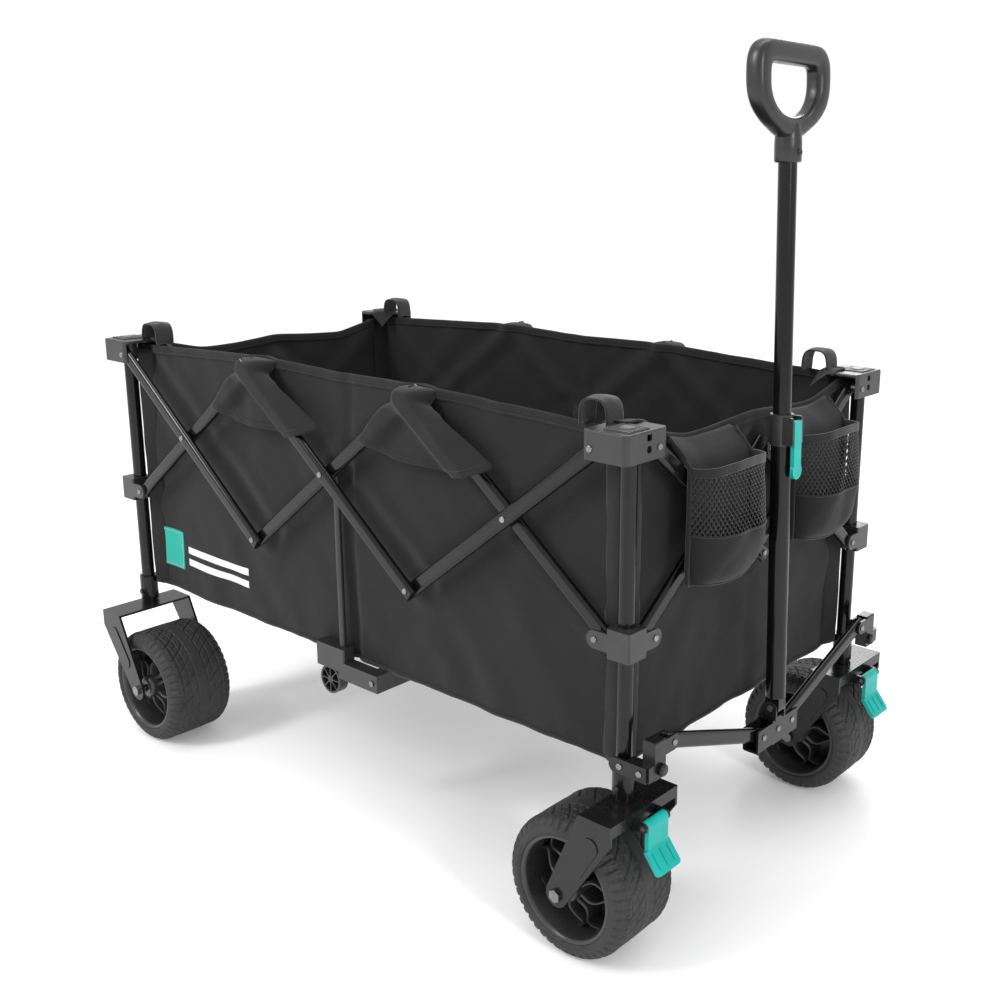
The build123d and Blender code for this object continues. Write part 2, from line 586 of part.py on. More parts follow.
def pedal():
    """A two-part brake pedal on the lip of a caster fork, with its pin."""
    half = PEDAL_W / 2
    hub = rod((PEDAL_PIVOT_X, -half, PEDAL_PIVOT_Z), (PEDAL_PIVOT_X, half, PEDAL_PIVOT_Z), PEDAL_HUB_R)
    upper = box(-PEDAL_T / 2, PEDAL_T / 2, -half, half, -PEDAL_DROP, 0)
    tread = box(-PEDAL_T / 2, PEDAL_T / 2, -half - PEDAL_T / 2, half + PEDAL_T / 2, -PEDAL_TREAD, 0)
    tread = fillet(tread.edges().filter_by(Axis.X).group_by(Axis.Z)[0], PEDAL_T)
    for y in (half - PEDAL_T, 0, PEDAL_T - half):
        rib_low, rib_high = y - PEDAL_T / 4, y + PEDAL_T / 4
        tread += box(PEDAL_T / 2, PEDAL_T * 0.7, rib_low, rib_high, -PEDAL_TREAD * 0.8, -PEDAL_T)
    knee_x = PEDAL_PIVOT_X + PEDAL_HUB_R - PEDAL_T / 2
    body = Pos(knee_x, 0, PEDAL_PIVOT_Z) * upper
    body += Pos(knee_x, 0, PEDAL_PIVOT_Z - PEDAL_DROP + PEDAL_T / 2) * Rot(0, -PEDAL_TREAD_ANGLE, 0) * tread
    body += hub
    return body - pedal_bore()


def pedal_lugs():
    """Lugs on the fork lip that carry the pedal pin."""
    lugs = []
    half = PEDAL_W / 2
    for side in (-1, 1):
        y0 = side * (half + LAYER_GAP)
        y1 = side * (half + LAYER_GAP + PEDAL_LUG_T)
        low_y, high_y = min(y0, y1), max(y0, y1)
        low, high = PEDAL_PIVOT_Z - PEDAL_HUB_R, PEDAL_PIVOT_Z + PEDAL_HUB_R
        lug = box(FORK_FRONT - FORK_SHEET, PEDAL_PIVOT_X, low_y, high_y, low, high)
        near_end = (PEDAL_PIVOT_X, low_y, PEDAL_PIVOT_Z)
        far_end = (PEDAL_PIVOT_X, high_y, PEDAL_PIVOT_Z)
        lugs.append(lug + rod(near_end, far_end, PEDAL_HUB_R))
    reach = half + LAYER_GAP + PEDAL_LUG_T
    pin = rod((PEDAL_PIVOT_X, -reach, PEDAL_PIVOT_Z), (PEDAL_PIVOT_X, reach, PEDAL_PIVOT_Z), PEDAL_PIN_R)
    return lugs, pin


def corner(shapes, fore, left):
    """Corner shapes placed at one of the four posts."""
    at = Pos(HALF_X if fore else -HALF_X, HALF_Y if left else -HALF_Y, 0)
    return [at * shape for shape in mirrored(shapes, fore, left)]


# Corner placement: fore, left, then the layer of each bar at the cap and at the slider
CORNERS = {
    "front_right": (True, False, (1, 0), (1, 1)),
    "front_left": (True, True, (1, 1), (1, 0)),
    "rear_right": (False, False, (0, 0), (0, 1)),
    "rear_left": (False, True, (0, 1), (0, 0)),
}
for name, (fore, left, cap_layers, slider_layers) in CORNERS.items():
    save(f"{name}_post", *corner(post(), fore, left))
    save(f"{name}_cap", *corner(cap(*cap_layers), fore, left))
    save(f"{name}_slider", *corner(slider(*slider_layers), fore, left))
    if fore:
        save(f"{name}_bracket", *corner(front_bracket(), fore, left))
        frame, axle = fork(FORK_BACK, FORK_FRONT, -CASTER_TRAIL, 0)
        lugs, pin = pedal_lugs()
        for lug in lugs:
            frame += lug
        frame -= pedal_bore()
        save(f"{name}_fork", *corner([frame, axle, pin], fore, left))
        save(f"{name}_pedal", *corner([pedal()], fore, left))
        save(f"{name}_wheel", *corner(wheel(-CASTER_TRAIL, 0), fore, left))
    else:
        frame, axle = fork(REAR_FORK_FRONT, REAR_FORK_BACK, -REAR_WHEEL_AHEAD, -REAR_WHEEL_OUT)
        save(f"{name}_fork", *corner([frame, axle], fore, left))
        save(f"{name}_wheel", *corner(wheel(-REAR_WHEEL_AHEAD, -REAR_WHEEL_OUT), fore, left))


# Middle uprights, drawn for the right side
def upright():
    """The upright rod at the middle of a side, with its block, floor beam end and ribbed shoe."""
    y = -HALF_Y
    stick = rod((0, y, BLOCK_BOTTOM_Z + BAR_T), (0, y, CROSS_Z - ROD_EYE_R / 2), ROD_D / 2)
    eye = rod((0, y - ROD_D / 2, CROSS_Z), (0, y + ROD_D / 2, CROSS_Z), ROD_EYE_R)
    stick = stick + eye
    stick -= rod((0, y - ROD_D, CROSS_Z), (0, y + ROD_D, CROSS_Z), RIVET_R + RUN)
    out = y - BLOCK_T / 2
    inn = y + BLOCK_T / 2
    block = box(-BLOCK_BACK, BLOCK_FRONT, out, inn, BLOCK_BOTTOM_Z, BLOCK_TOP_Z)
    block = fillet(block.edges().filter_by(Axis.Z), BAR_WALL * 2)
    beam_top = CLOTH_BOTTOM_Z - CLOTH_GAP
    block += box(0, BEAM_REACH, out, inn - BAR_WALL, beam_top - BEAM_H, beam_top)
    block += box(BEAM_REACH - BEAM_W, BEAM_REACH, out, inn + BEAM_REACH, beam_top - BEAM_H, beam_top)
    block -= rod((0, y, BLOCK_BOTTOM_Z + BAR_T), (0, y, CROSS_Z), ROD_D / 2 + FIT)
    head_x, head_z = BEAM_REACH - BEAM_W / 2, beam_top - BEAM_H / 2
    head = rod((head_x, out - HEAD_H, head_z), (head_x, out, head_z), HEAD_R)
    shoe = rod((SHOE_X, out, SHOE_Z), (SHOE_X, out + SHOE_T, SHOE_Z), SHOE_R)
    shoe -= rod((SHOE_X, out, SHOE_Z), (SHOE_X, out + SHOE_T / 2, SHOE_Z), SHOE_R - BAR_WALL * 2)
    shoe += rod((SHOE_X, out, SHOE_Z), (SHOE_X, out + SHOE_T, SHOE_Z), SHOE_R / 4)
    for i in range(SHOE_RIBS):
        rib = box(0, SHOE_R - BAR_WALL, out, out + SHOE_T, -BAR_WALL / 2, BAR_WALL / 2)
        shoe += Pos(SHOE_X, 0, SHOE_Z) * Rot(0, 360 / SHOE_RIBS * i, 0) * rib
    shoe -= box(-BLOCK_BACK, BEAM_REACH, out - SHOE_T, inn, BLOCK_BOTTOM_Z - FIT, BLOCK_TOP_Z)
    return [stick, block, head, shoe]


save("right_upright", *upright())
save("left_upright", *mirrored(upright(), True, True))


# Draw arms and yoke
ARM_X = HALF_X + ARM_PLANE_X
arm_start = (ARM_X, -HALF_Y + ARM_PIVOT_IN, ARM_PIVOT_Z)
arm_end = (ARM_X, -ARM_YOKE_Y, YOKE_RIVET_Z)
save("right_draw_arm", *bar(arm_start, arm_end, OUT_F, [0, ARM_LENGTH], []))
left_arm = mirrored(bar(arm_start, arm_end, OUT_F, [0], []), True, True)
stub = rod(
    (HALF_X + YOKE_BACK_X + YOKE_SHEET + LAYER_GAP, ARM_YOKE_Y, YOKE_RIVET_Z),
    (HALF_X + YOKE_FRONT_X - YOKE_SHEET - LAYER_GAP, ARM_YOKE_Y, YOKE_RIVET_Z),
    RIVET_R,
)
left_arm[0] = left_arm[0] + stub
save("left_draw_arm", *left_arm)


def yoke():
    """The channel that joins the draw arms and carries the handle hinge."""
    x0, x1 = HALF_X + YOKE_BACK_X, HALF_X + YOKE_FRONT_X
    channel = box(x0, x1, -YOKE_HALF_W, YOKE_HALF_W, YOKE_BOTTOM_Z, YOKE_TOP_Z)
    channel = fillet(channel.edges().filter_by(Axis.Y).group_by(Axis.Z)[0], YOKE_SHEET)
    channel += box(x0, x1, -YOKE_BRIDGE_HALF, YOKE_BRIDGE_HALF, YOKE_BOTTOM_Z, YOKE_BRIDGE_Z)
    inside_top = YOKE_BRIDGE_Z - YOKE_SHEET
    inside_low = YOKE_BOTTOM_Z + YOKE_SHEET
    wide = 2 * YOKE_HALF_W
    channel -= box(x0 + YOKE_SHEET, x1 - YOKE_SHEET, -wide, wide, inside_low, inside_top)
    pivot_x = HALF_X + HANDLE_PIVOT_X
    for side in (-1, 1):
        near, far = TONGUE_HALF_T + LUG_GAP, TONGUE_HALF_T + LUG_GAP + LUG_T
        y0, y1 = min(side * near, side * far), max(side * near, side * far)
        half = 2 * HANDLE_PIN_R
        channel += box(pivot_x - half, x1, y0, y1, inside_top, YOKE_BRIDGE_Z)
        lug = box(pivot_x - half, pivot_x + half, y0, y1, inside_top, HANDLE_PIVOT_Z)
        lug += rod((pivot_x, y0, HANDLE_PIVOT_Z), (pivot_x, y1, HANDLE_PIVOT_Z), half)
        channel += lug
    reach = TONGUE_HALF_T + LUG_GAP + LUG_T
    z = HANDLE_PIVOT_Z
    channel -= rod((pivot_x, -2 * reach, z), (pivot_x, 2 * reach, z), HANDLE_PIN_R + RUN)
    channel -= rod((x0 - 1, -ARM_YOKE_Y, YOKE_RIVET_Z), (x1 + 1, -ARM_YOKE_Y, YOKE_RIVET_Z), RIVET_R + RUN)
    pin = rod((pivot_x, -reach - HEAD_H, z), (pivot_x, reach + HEAD_H, z), HANDLE_PIN_R)
    arm_pin = rivet((x0, -ARM_YOKE_Y, YOKE_RIVET_Z), OUT_F, x1 - x0, 0)
    heads = []
    for y in (0, ARM_YOKE_Y):
        head = rod((x1, y, YOKE_RIVET_Z), (x1 + HEAD_H, y, YOKE_RIVET_Z), HEAD_R)
        heads.append(fillet(head.edges().group_by(Axis.X)[-1], HEAD_H * 0.7))
    return [channel, pin, arm_pin, *heads]


save("draw_yoke", *yoke())

# Handle, drawn upright on its pivot and then leaned back
handle_place = Pos(HALF_X + HANDLE_PIVOT_X, 0, HANDLE_PIVOT_Z) * Rot(0, -HANDLE_LEAN, 0)
LOWER_END = CLAMP_END - CLAMP_LIP
PIN_S = CLAMP_END - LEVER_PIN_DOWN


def lower_tube():
    """The lower handle tube and the plug that hinges on the yoke."""
    tube = rod((0, 0, LOWER_START), (0, 0, LOWER_END), LOWER_R)
    tube -= rod((0, 0, 0), (0, 0, LOWER_END), UPPER_R + RUN)
    tongue = rod((0, -TONGUE_HALF_T, 0), (0, TONGUE_HALF_T, 0), TONGUE_R)
    tongue += box(-TONGUE_R, TONGUE_R, -TONGUE_HALF_T, TONGUE_HALF_T, 0, LOWER_START)
    tongue += rod((0, 0, LOWER_START), (0, 0, 2 * LOWER_START), UPPER_R - FIT)
    tongue -= rod((0, -LOWER_R, 0), (0, LOWER_R, 0), HANDLE_PIN_R + RUN)
    return [tube, tongue]


def clamp():
    """The clamp collar at the top of the lower tube, with cheeks for its lever."""
    body = rod((0, 0, CLAMP_START), (0, 0, CLAMP_END), CLAMP_R)
    for side in (-1, 1):
        y0, y1 = sorted((side * CHEEK_IN, side * (CHEEK_IN + CHEEK_T)))
        cheek = box(0, CHEEK_X, y0, y1, CLAMP_START + CLAMP_LIP / 2, CLAMP_END - CLAMP_LIP / 2)
        body += fillet(cheek.edges().filter_by(Axis.Y).group_by(Axis.X)[-1], CHEEK_T)
    body -= rod((0, 0, 0), (0, 0, LOWER_END), LOWER_R + FIT)
    body -= rod((0, 0, 0), (0, 0, 2 * CLAMP_END), UPPER_R + RUN)
    reach = CHEEK_IN + CHEEK_T
    body -= rod((LEVER_X, -2 * reach, PIN_S), (LEVER_X, 2 * reach, PIN_S), LEVER_PIN_R + RUN)
    pin = rod((LEVER_X, -reach, PIN_S), (LEVER_X, reach, PIN_S), LEVER_PIN_R)
    return [body, pin]


def lever():
    """The clamp lever, hanging from its pin."""
    hub = rod((LEVER_X, -LEVER_HALF_W, PIN_S), (LEVER_X, LEVER_HALF_W, PIN_S), LEVER_HUB_R)
    face = LEVER_X + LEVER_T
    low = PIN_S - LEVER_DROP
    blade = box(LEVER_X, face, -LEVER_HALF_W, LEVER_HALF_W, low, PIN_S + LEVER_HUB_R)
    tab = rod((LEVER_X, 0, low), (face, 0, low), LEVER_TAB_R)
    body = hub + blade + tab
    body -= rod((LEVER_X, -LEVER_TAB_R, PIN_S), (LEVER_X, LEVER_TAB_R, PIN_S), LEVER_PIN_R + RUN)
    return [body]


def grip():
    """The D-shaped hand grip with its neck over the upper tube."""
    low = GRIP_START
    bar_z = GRIP_TOP - GRIP_BAR / 2
    shoulder = GRIP_HALF_W - GRIP_BAR / 2
    edges = []
    for y, z, r in (
        (-shoulder, bar_z, GRIP_BAR / 2),
        (shoulder, bar_z, GRIP_BAR / 2),
        (-shoulder, bar_z - GRIP_SIDE, GRIP_BAR / 2),
        (shoulder, bar_z - GRIP_SIDE, GRIP_BAR / 2),
        (0, low + 2 * NECK_R, NECK_R),
    ):
        edges += [Pos(y, z) * edge for edge in Circle(r).edges()]
    hole_top = GRIP_TOP - GRIP_BAR
    hole_r = GRIP_BAR / 2
    hole = []
    for y, z in (
        (hole_r - GRIP_OPENING_TOP_HALF, hole_top - hole_r),
        (GRIP_OPENING_TOP_HALF - hole_r, hole_top - hole_r),
        (hole_r - GRIP_OPENING_LOW_HALF, hole_top - GRIP_OPENING_H + hole_r),
        (GRIP_OPENING_LOW_HALF - hole_r, hole_top - GRIP_OPENING_H + hole_r),
    ):
        hole += [Pos(y, z) * edge for edge in Circle(hole_r).edges()]
    plane = Plane(origin=(-GRIP_T / 2, 0, 0), x_dir=(0, 1, 0), z_dir=(1, 0, 0))
    body = extrude(plane * make_hull(edges), GRIP_T) - extrude(plane * make_hull(hole), GRIP_T)
    rims = body.edges().filter_by(lambda e: abs(e.center().X) > GRIP_T / 2 - FIT)
    body = fillet(rims, GRIP_FILLET)
    body += rod((0, 0, low), (0, 0, low + 3 * NECK_R), NECK_R)
    body -= rod((0, 0, 0), (0, 0, UPPER_END), UPPER_R + FIT)
    return [body]


upper = rod((0, 0, UPPER_START), (0, 0, UPPER_END - FIT), UPPER_R)
upper -= rod((0, 0, 0), (0, 0, 2 * UPPER_END), UPPER_R - UPPER_WALL)
save("handle_lower_tube", *[handle_place * piece for piece in lower_tube()])
save("handle_clamp", *[handle_place * piece for piece in clamp()])
save("handle_clamp_lever", *[handle_place * piece for piece in lever()])
save("handle_upper_tube", handle_place * upper)
save("handle_grip", *[handle_place * piece for piece in grip()])

# Cloth tub: one panel for each wall and one for the floor
wall_x = HALF_X - CLOTH_IN
wall_y = HALF_Y - CLOTH_IN
side_end = wall_x - CLOTH_T - CLOTH_GAP
save("right_cloth_wall", box(-wall_x, wall_x, -wall_y, CLOTH_T - wall_y, CLOTH_BOTTOM_Z, CLOTH_TOP_Z))
save("left_cloth_wall", box(-wall_x, wall_x, wall_y - CLOTH_T, wall_y, CLOTH_BOTTOM_Z, CLOTH_TOP_Z))
inner_y = wall_y - CLOTH_T - CLOTH_GAP
save("front_cloth_wall", box(wall_x - CLOTH_T, wall_x, -inner_y, inner_y, CLOTH_BOTTOM_Z, CLOTH_TOP_Z))
save("rear_cloth_wall", box(-wall_x, CLOTH_T - wall_x, -inner_y, inner_y, CLOTH_BOTTOM_Z, CLOTH_TOP_Z))
save("cloth_floor", box(-side_end, side_end, -inner_y, inner_y, CLOTH_BOTTOM_Z, CLOTH_BOTTOM_Z + CLOTH_T))


def pocket():
    """A cup pocket on the front wall, open at the top, with a taller back."""
    x0, x1 = HALF_X + POCKET_BACK_X, HALF_X + POCKET_OUT
    body = box(x0, x1, -POCKET_FAR_Y, -POCKET_NEAR_Y, POCKET_BOTTOM_Z, POCKET_TOP_Z)
    body = fillet(body.edges().filter_by(Axis.Z).group_by(Axis.X)[-1], POCKET_OUT / 4)
    hollow = box(
        x0 + CLOTH_T,
        x1 - CLOTH_T,
        CLOTH_T - POCKET_FAR_Y,
        -POCKET_NEAR_Y - CLOTH_T,
        POCKET_BOTTOM_Z + CLOTH_T,
        POCKET_BACK_TOP_Z,
    )
    hollow = fillet(hollow.edges().filter_by(Axis.Z).group_by(Axis.X)[-1], POCKET_OUT / 4 - CLOTH_T)
    back = box(x0, x0 + CLOTH_T, -POCKET_FAR_Y, -POCKET_NEAR_Y, POCKET_BOTTOM_Z, POCKET_BACK_TOP_Z)
    return [body - hollow + back]


save("front_pockets", *pocket(), *mirrored(pocket(), True, True))
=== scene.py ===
import json
from math import cos, pi, radians, sin

import bpy
import numpy as np
from mathutils import Matrix, Vector


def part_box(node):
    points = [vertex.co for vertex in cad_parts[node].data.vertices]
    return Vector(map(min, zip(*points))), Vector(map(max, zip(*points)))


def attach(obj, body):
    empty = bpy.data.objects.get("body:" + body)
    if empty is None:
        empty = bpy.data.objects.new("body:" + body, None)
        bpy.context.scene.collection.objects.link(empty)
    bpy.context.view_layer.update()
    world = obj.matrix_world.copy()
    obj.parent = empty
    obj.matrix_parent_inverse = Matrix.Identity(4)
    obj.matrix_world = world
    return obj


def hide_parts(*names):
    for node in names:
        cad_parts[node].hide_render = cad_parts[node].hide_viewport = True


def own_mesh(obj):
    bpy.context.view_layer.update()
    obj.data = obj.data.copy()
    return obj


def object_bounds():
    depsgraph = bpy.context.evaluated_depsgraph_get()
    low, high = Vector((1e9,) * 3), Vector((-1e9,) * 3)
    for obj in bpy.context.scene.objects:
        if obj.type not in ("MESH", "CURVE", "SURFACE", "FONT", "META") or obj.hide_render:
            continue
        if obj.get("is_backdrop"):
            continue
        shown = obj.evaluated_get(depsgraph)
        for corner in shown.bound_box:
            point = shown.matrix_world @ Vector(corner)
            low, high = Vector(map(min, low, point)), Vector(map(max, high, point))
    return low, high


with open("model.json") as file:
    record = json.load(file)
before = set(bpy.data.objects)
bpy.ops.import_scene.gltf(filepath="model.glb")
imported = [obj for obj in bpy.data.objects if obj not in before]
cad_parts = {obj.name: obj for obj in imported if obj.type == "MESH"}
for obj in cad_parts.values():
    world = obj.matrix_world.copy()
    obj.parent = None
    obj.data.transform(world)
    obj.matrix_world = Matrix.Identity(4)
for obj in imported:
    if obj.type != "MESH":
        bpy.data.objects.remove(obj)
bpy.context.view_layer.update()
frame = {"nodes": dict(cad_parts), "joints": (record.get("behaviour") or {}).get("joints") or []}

MM = 0.001
JOINTS = {joint["name"]: joint for joint in frame["joints"]}
CORNERS = ("front_right", "front_left", "rear_right", "rear_left")

# The middle of the four posts, which lengths along the wagon are measured from
REAR_POST_LOW, REAR_POST_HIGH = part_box("rear_right_post")
REAR_POST_X = (REAR_POST_LOW.x + REAR_POST_HIGH.x) / 2
MIDDLE_X = (REAR_POST_X + JOINTS["front_right_caster_swivel"]["pos_m"][0]) / 2


def joint_at(name):
    """Where a joint of the frame is at rest, measured along from the middle of the four posts."""
    return Vector(JOINTS[name]["pos_m"]) - Vector((MIDDLE_X, 0, 0))


# Places taken from the frame
POST = joint_at("front_right_caster_swivel")
HALF_X, HALF_Y = POST.x, -POST.y
WALL_LOW, WALL_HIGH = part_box("right_cloth_wall")
WALL_X = WALL_HIGH.x - MIDDLE_X
WALL_Y = -WALL_LOW.y
CLOTH_LOW = WALL_LOW.z
SIDE_TOP = joint_at("frame_fold")
SIDE_LOW = joint_at("right_bar_b2_at_rear_lower_rivet")
SIDE_CROSS = joint_at("right_bar_a2_at_middle_cross")
SLIDER = joint_at("rear_right_slider_rivet")
END_TOP = joint_at("front_bar_e1_at_right_cap")
END_LOW = joint_at("front_bar_f2_at_lower_rivet")
HINGE_X = -SIDE_LOW.x  # where the side bars meet at their tops and feet
HINGE_TOP = 2 * SIDE_CROSS.z - SIDE_LOW.z
END_CROSS = joint_at("front_bar_f1_at_right_cross")
END_HINGE_TOP = 2 * END_CROSS.z - END_LOW.z


# Meshes
def add(name, verts, faces, materials, smooth=True):
    """A new mesh object in the frame's own coordinates."""
    mesh = bpy.data.meshes.new(name)
    mesh.from_pydata([tuple(v) for v in verts], [], [tuple(f) for f in faces])
    for material in materials:
        mesh.materials.append(material)
    mesh.polygons.foreach_set("use_smooth", [smooth] * len(mesh.polygons))
    mesh.update()
    obj = bpy.data.objects.new(name, mesh)
    bpy.context.scene.collection.objects.link(obj)
    return obj


def grid_faces(rows, columns, wrap=False):
    """Quads over a grid of points stored row by row. With wrap, the last row joins the first."""
    last = rows if wrap else rows - 1
    faces = []
    for i in range(last):
        a, b = i * columns, (i + 1) % rows * columns
        faces += [(a + j, b + j, b + j + 1, a + j + 1) for j in range(columns - 1)]
    return faces


def add_grid(name, points, materials, uv=None, thickness=0.0, subdivide=0, wrap=False):
    """A sheet over an array of points (rows, columns, 3), with its map in metres."""
    rows, columns = points.shape[:2]
    obj = add(name, points.reshape(-1, 3), grid_faces(rows, columns, wrap), materials)
    if uv is None:
        across = np.linalg.norm(np.diff(points, axis=1), axis=2)
        along = np.linalg.norm(np.diff(points, axis=0), axis=2)
        u = np.concatenate([np.zeros((rows, 1)), np.cumsum(across, 1)], 1)
        v = np.concatenate([np.zeros((1, columns)), np.cumsum(along, 0)], 0)
        uv = np.stack([u, v], 2)
    flat = uv.reshape(-1, 2)
    layer = obj.data.uv_layers.new(name="metres")
    index = np.zeros(len(obj.data.loops), int)
    obj.data.loops.foreach_get("vertex_index", index)
    layer.data.foreach_set("uv", flat[index].ravel())
    if subdivide:
        soft = obj.modifiers.new("soften", "SUBSURF")
        soft.levels = soft.render_levels = subdivide
    if thickness:
        thick = obj.modifiers.new("thickness", "SOLIDIFY")
        thick.thickness, thick.offset = thickness, 0.0
    return obj


def sweep(path, radius, sides=8, flat=1.0, closed=False):
    """Rings of points along a path. flat below 1 squeezes the ring sideways."""
    path = np.array(path, float)
    if closed:
        tangent = np.roll(path, -1, 0) - np.roll(path, 1, 0)
    else:
        tangent = np.gradient(path, axis=0)
    tangent /= np.linalg.norm(tangent, axis=1)[:, None]
    start = np.array((0.0, 0.0, 1.0)) if abs(tangent[0, 2]) < 0.9 else np.array((1.0, 0.0, 0.0))
    rings = []
    side = np.cross(tangent[0], start)
    for point, way in zip(path, tangent):
        side = side - way * (side @ way)
        side /= np.linalg.norm(side)
        other = np.cross(way, side)
        turn = np.linspace(0, 2 * pi, sides + 1)
        ring = [point + radius * (cos(a) * side * flat + sin(a) * other) for a in turn]
        rings.append(ring)
    return np.array(rings)


def tube(name, path, radius, material, sides=8, flat=1.0, closed=False):
    """A round or flattened tube along a path, with its ends closed."""
    rings = sweep(path, radius, sides, flat, closed)[:, :-1]
    count = len(rings)
    faces = []
    last = count if closed else count - 1
    for i in range(last):
        a, b = i * sides, (i + 1) % count * sides
        faces += [(a + j, b + j, b + (j + 1) % sides, a + (j + 1) % sides) for j in range(sides)]
    if not closed:
        faces.append(tuple(range(sides)))
        faces.append(tuple(reversed(range((count - 1) * sides, count * sides))))
    return add(name, rings.reshape(-1, 3), faces, [material])


def dashes(name, path, outward, material, pitch=4.2 * MM, length=2.9 * MM, width=0.75 * MM):
    """A row of stitches along a path, raised on the side that outward points to."""
    path = np.array(path, float)
    steps = np.linalg.norm(np.diff(path, axis=0), axis=1)
    run = np.concatenate([[0], np.cumsum(steps)])
    verts, faces = [], []
    out = np.array(outward, float)
    for start in np.arange(pitch / 2, run[-1] - pitch, pitch):
        ends = []
        for place in (start, start + length):
            ends.append(np.array([np.interp(place, run, path[:, k]) for k in range(3)]))
        way = (ends[1] - ends[0]) / np.linalg.norm(ends[1] - ends[0])
        side = np.cross(way, out)
        first = len(verts)
        for end, shrink in ((ends[0], 0.55), ((ends[0] + ends[1]) / 2, 1.0), (ends[1], 0.55)):
            for a in (0, pi / 2, pi, 3 * pi / 2):
                verts.append(end + width / 2 * shrink * (cos(a) * side + sin(a) * out))
        for ring in (first, first + 4):
            for j in range(4):
                k = (j + 1) % 4
                faces.append((ring + j, ring + 4 + j, ring + 4 + k, ring + k))
        faces.append((first, first + 1, first + 2, first + 3))
        faces.append((first + 11, first + 10, first + 9, first + 8))
    return add(name, verts, faces, [material])


def ripple(u, v, size, seed):
    """Smooth random heights from -1 to 1 over a plane, with a knot every size."""
    knots = 64
    table = np.random.default_rng(seed).uniform(-1, 1, (knots, knots))
    x, y = u / size + knots / 2, v / size + knots / 2
    i, j = np.floor(x).astype(int), np.floor(y).astype(int)
    fx, fy = x - i, y - j
    fx, fy = fx * fx * (3 - 2 * fx), fy * fy * (3 - 2 * fy)
    near = [[table[(i + a) % knots, (j + b) % knots] for b in (0, 1)] for a in (0, 1)]
    low = near[0][0] * (1 - fy) + near[0][1] * fy
    high = near[1][0] * (1 - fy) + near[1][1] * fy
    return low * (1 - fx) + high * fx


def along(points, smooth=0.03):
    """A smooth curve through (place, height) pairs, as a function of place."""
    places, heights = zip(*points)
    fine = np.linspace(places[0], places[-1], 801)
    level = np.interp(fine, places, heights)
    reach = max(3, int(smooth / (fine[1] - fine[0])))
    window = np.hanning(2 * reach + 1)
    padded = np.pad(level, reach, mode="edge")
    soft = np.convolve(padded, window / window.sum(), mode="valid")
    return lambda place: np.interp(place, fine, soft)


def rounded(value, power):
    """A power of a value that keeps its sign, to square off a circle."""
    return np.sign(value) * np.abs(value) ** power


def line_distance(u, z, start, end):
    """Distance from points (u, z) to a straight line between two points."""
    ax, az = start
    bx, bz = end
    length = (bx - ax) ** 2 + (bz - az) ** 2
    t = np.clip(((u - ax) * (bx - ax) + (z - az) * (bz - az)) / length, 0, 1)
    return np.hypot(u - ax - t * (bx - ax), z - az - t * (bz - az))


# Materials
class Recipe:
    """A procedural material, built node by node."""

    def __init__(self, name):
        self.material = bpy.data.materials.new(name)
        self.material.use_nodes = True
        self.tree = self.material.node_tree
        self.shader = self.tree.nodes["Principled BSDF"]

    def put(self, socket, value):
        if isinstance(value, bpy.types.NodeSocket):
            self.tree.links.new(value, socket)
        else:
            socket.default_value = value

    def node(self, kind, inputs, output=0, **settings):
        made = self.tree.nodes.new(kind)
        for key, value in settings.items():
            setattr(made, key, value)
        for key, value in inputs.items():
            self.put(made.inputs[key], value)
        return made.outputs[output]

    def math(self, operation, a, b=0.0):
        return self.node("ShaderNodeMath", {0: a, 1: b}, operation=operation)

    def noise(self, where, scale, detail=3.0):
        return self.node("ShaderNodeTexNoise", {"Vector": where, "Scale": scale, "Detail": detail})

    def spread(self, value, low, high, start=0.3, end=0.7):
        return self.node("ShaderNodeMapRange", {0: value, 1: start, 2: end, 3: low, 4: high})

    def blend(self, share, a, b):
        return self.node("ShaderNodeMix", {0: share, 6: a, 7: b}, 2, data_type="RGBA")

    def bump(self, height, distance, strength=1.0, normal=None):
        inputs = {"Height": height, "Distance": distance, "Strength": strength}
        if normal is not None:
            inputs["Normal"] = normal
        return self.node("ShaderNodeBump", inputs)

    def place(self, mapped):
        return self.node("ShaderNodeTexCoord", {}, "UV" if mapped else "Object")


def grey(value, warm=0.0):
    """A near-neutral colour."""
    return (value * (1 + warm), value, value * (1 - warm), 1.0)


CLOUD_SCALE = 35.0  # patches of slightly different colour per metre
WEAR_SCALE = 9 * CLOUD_SCALE


def hard_finish(name, dark, light, rough, grain=2500.0, relief=0.03 * MM, **sockets):
    """Paint, plastic, rubber or metal: uneven colour, uneven gloss and a fine grain."""
    r = Recipe(name)
    where = r.place(False)
    cloud = r.noise(where, CLOUD_SCALE, 4.0)
    wear = r.noise(where, WEAR_SCALE, 5.0)
    r.put(r.shader.inputs["Base Color"], r.blend(r.spread(cloud, 0.0, 1.0), dark, light))
    r.put(r.shader.inputs["Roughness"], r.spread(wear, rough[0], rough[1]))
    fine = r.bump(r.noise(where, grain, 2.0), relief)
    r.put(r.shader.inputs["Normal"], r.bump(wear, relief * 2, 0.5, fine))
    for key, value in sockets.items():
        r.shader.inputs[key.replace("_", " ")].default_value = value
    return r.material


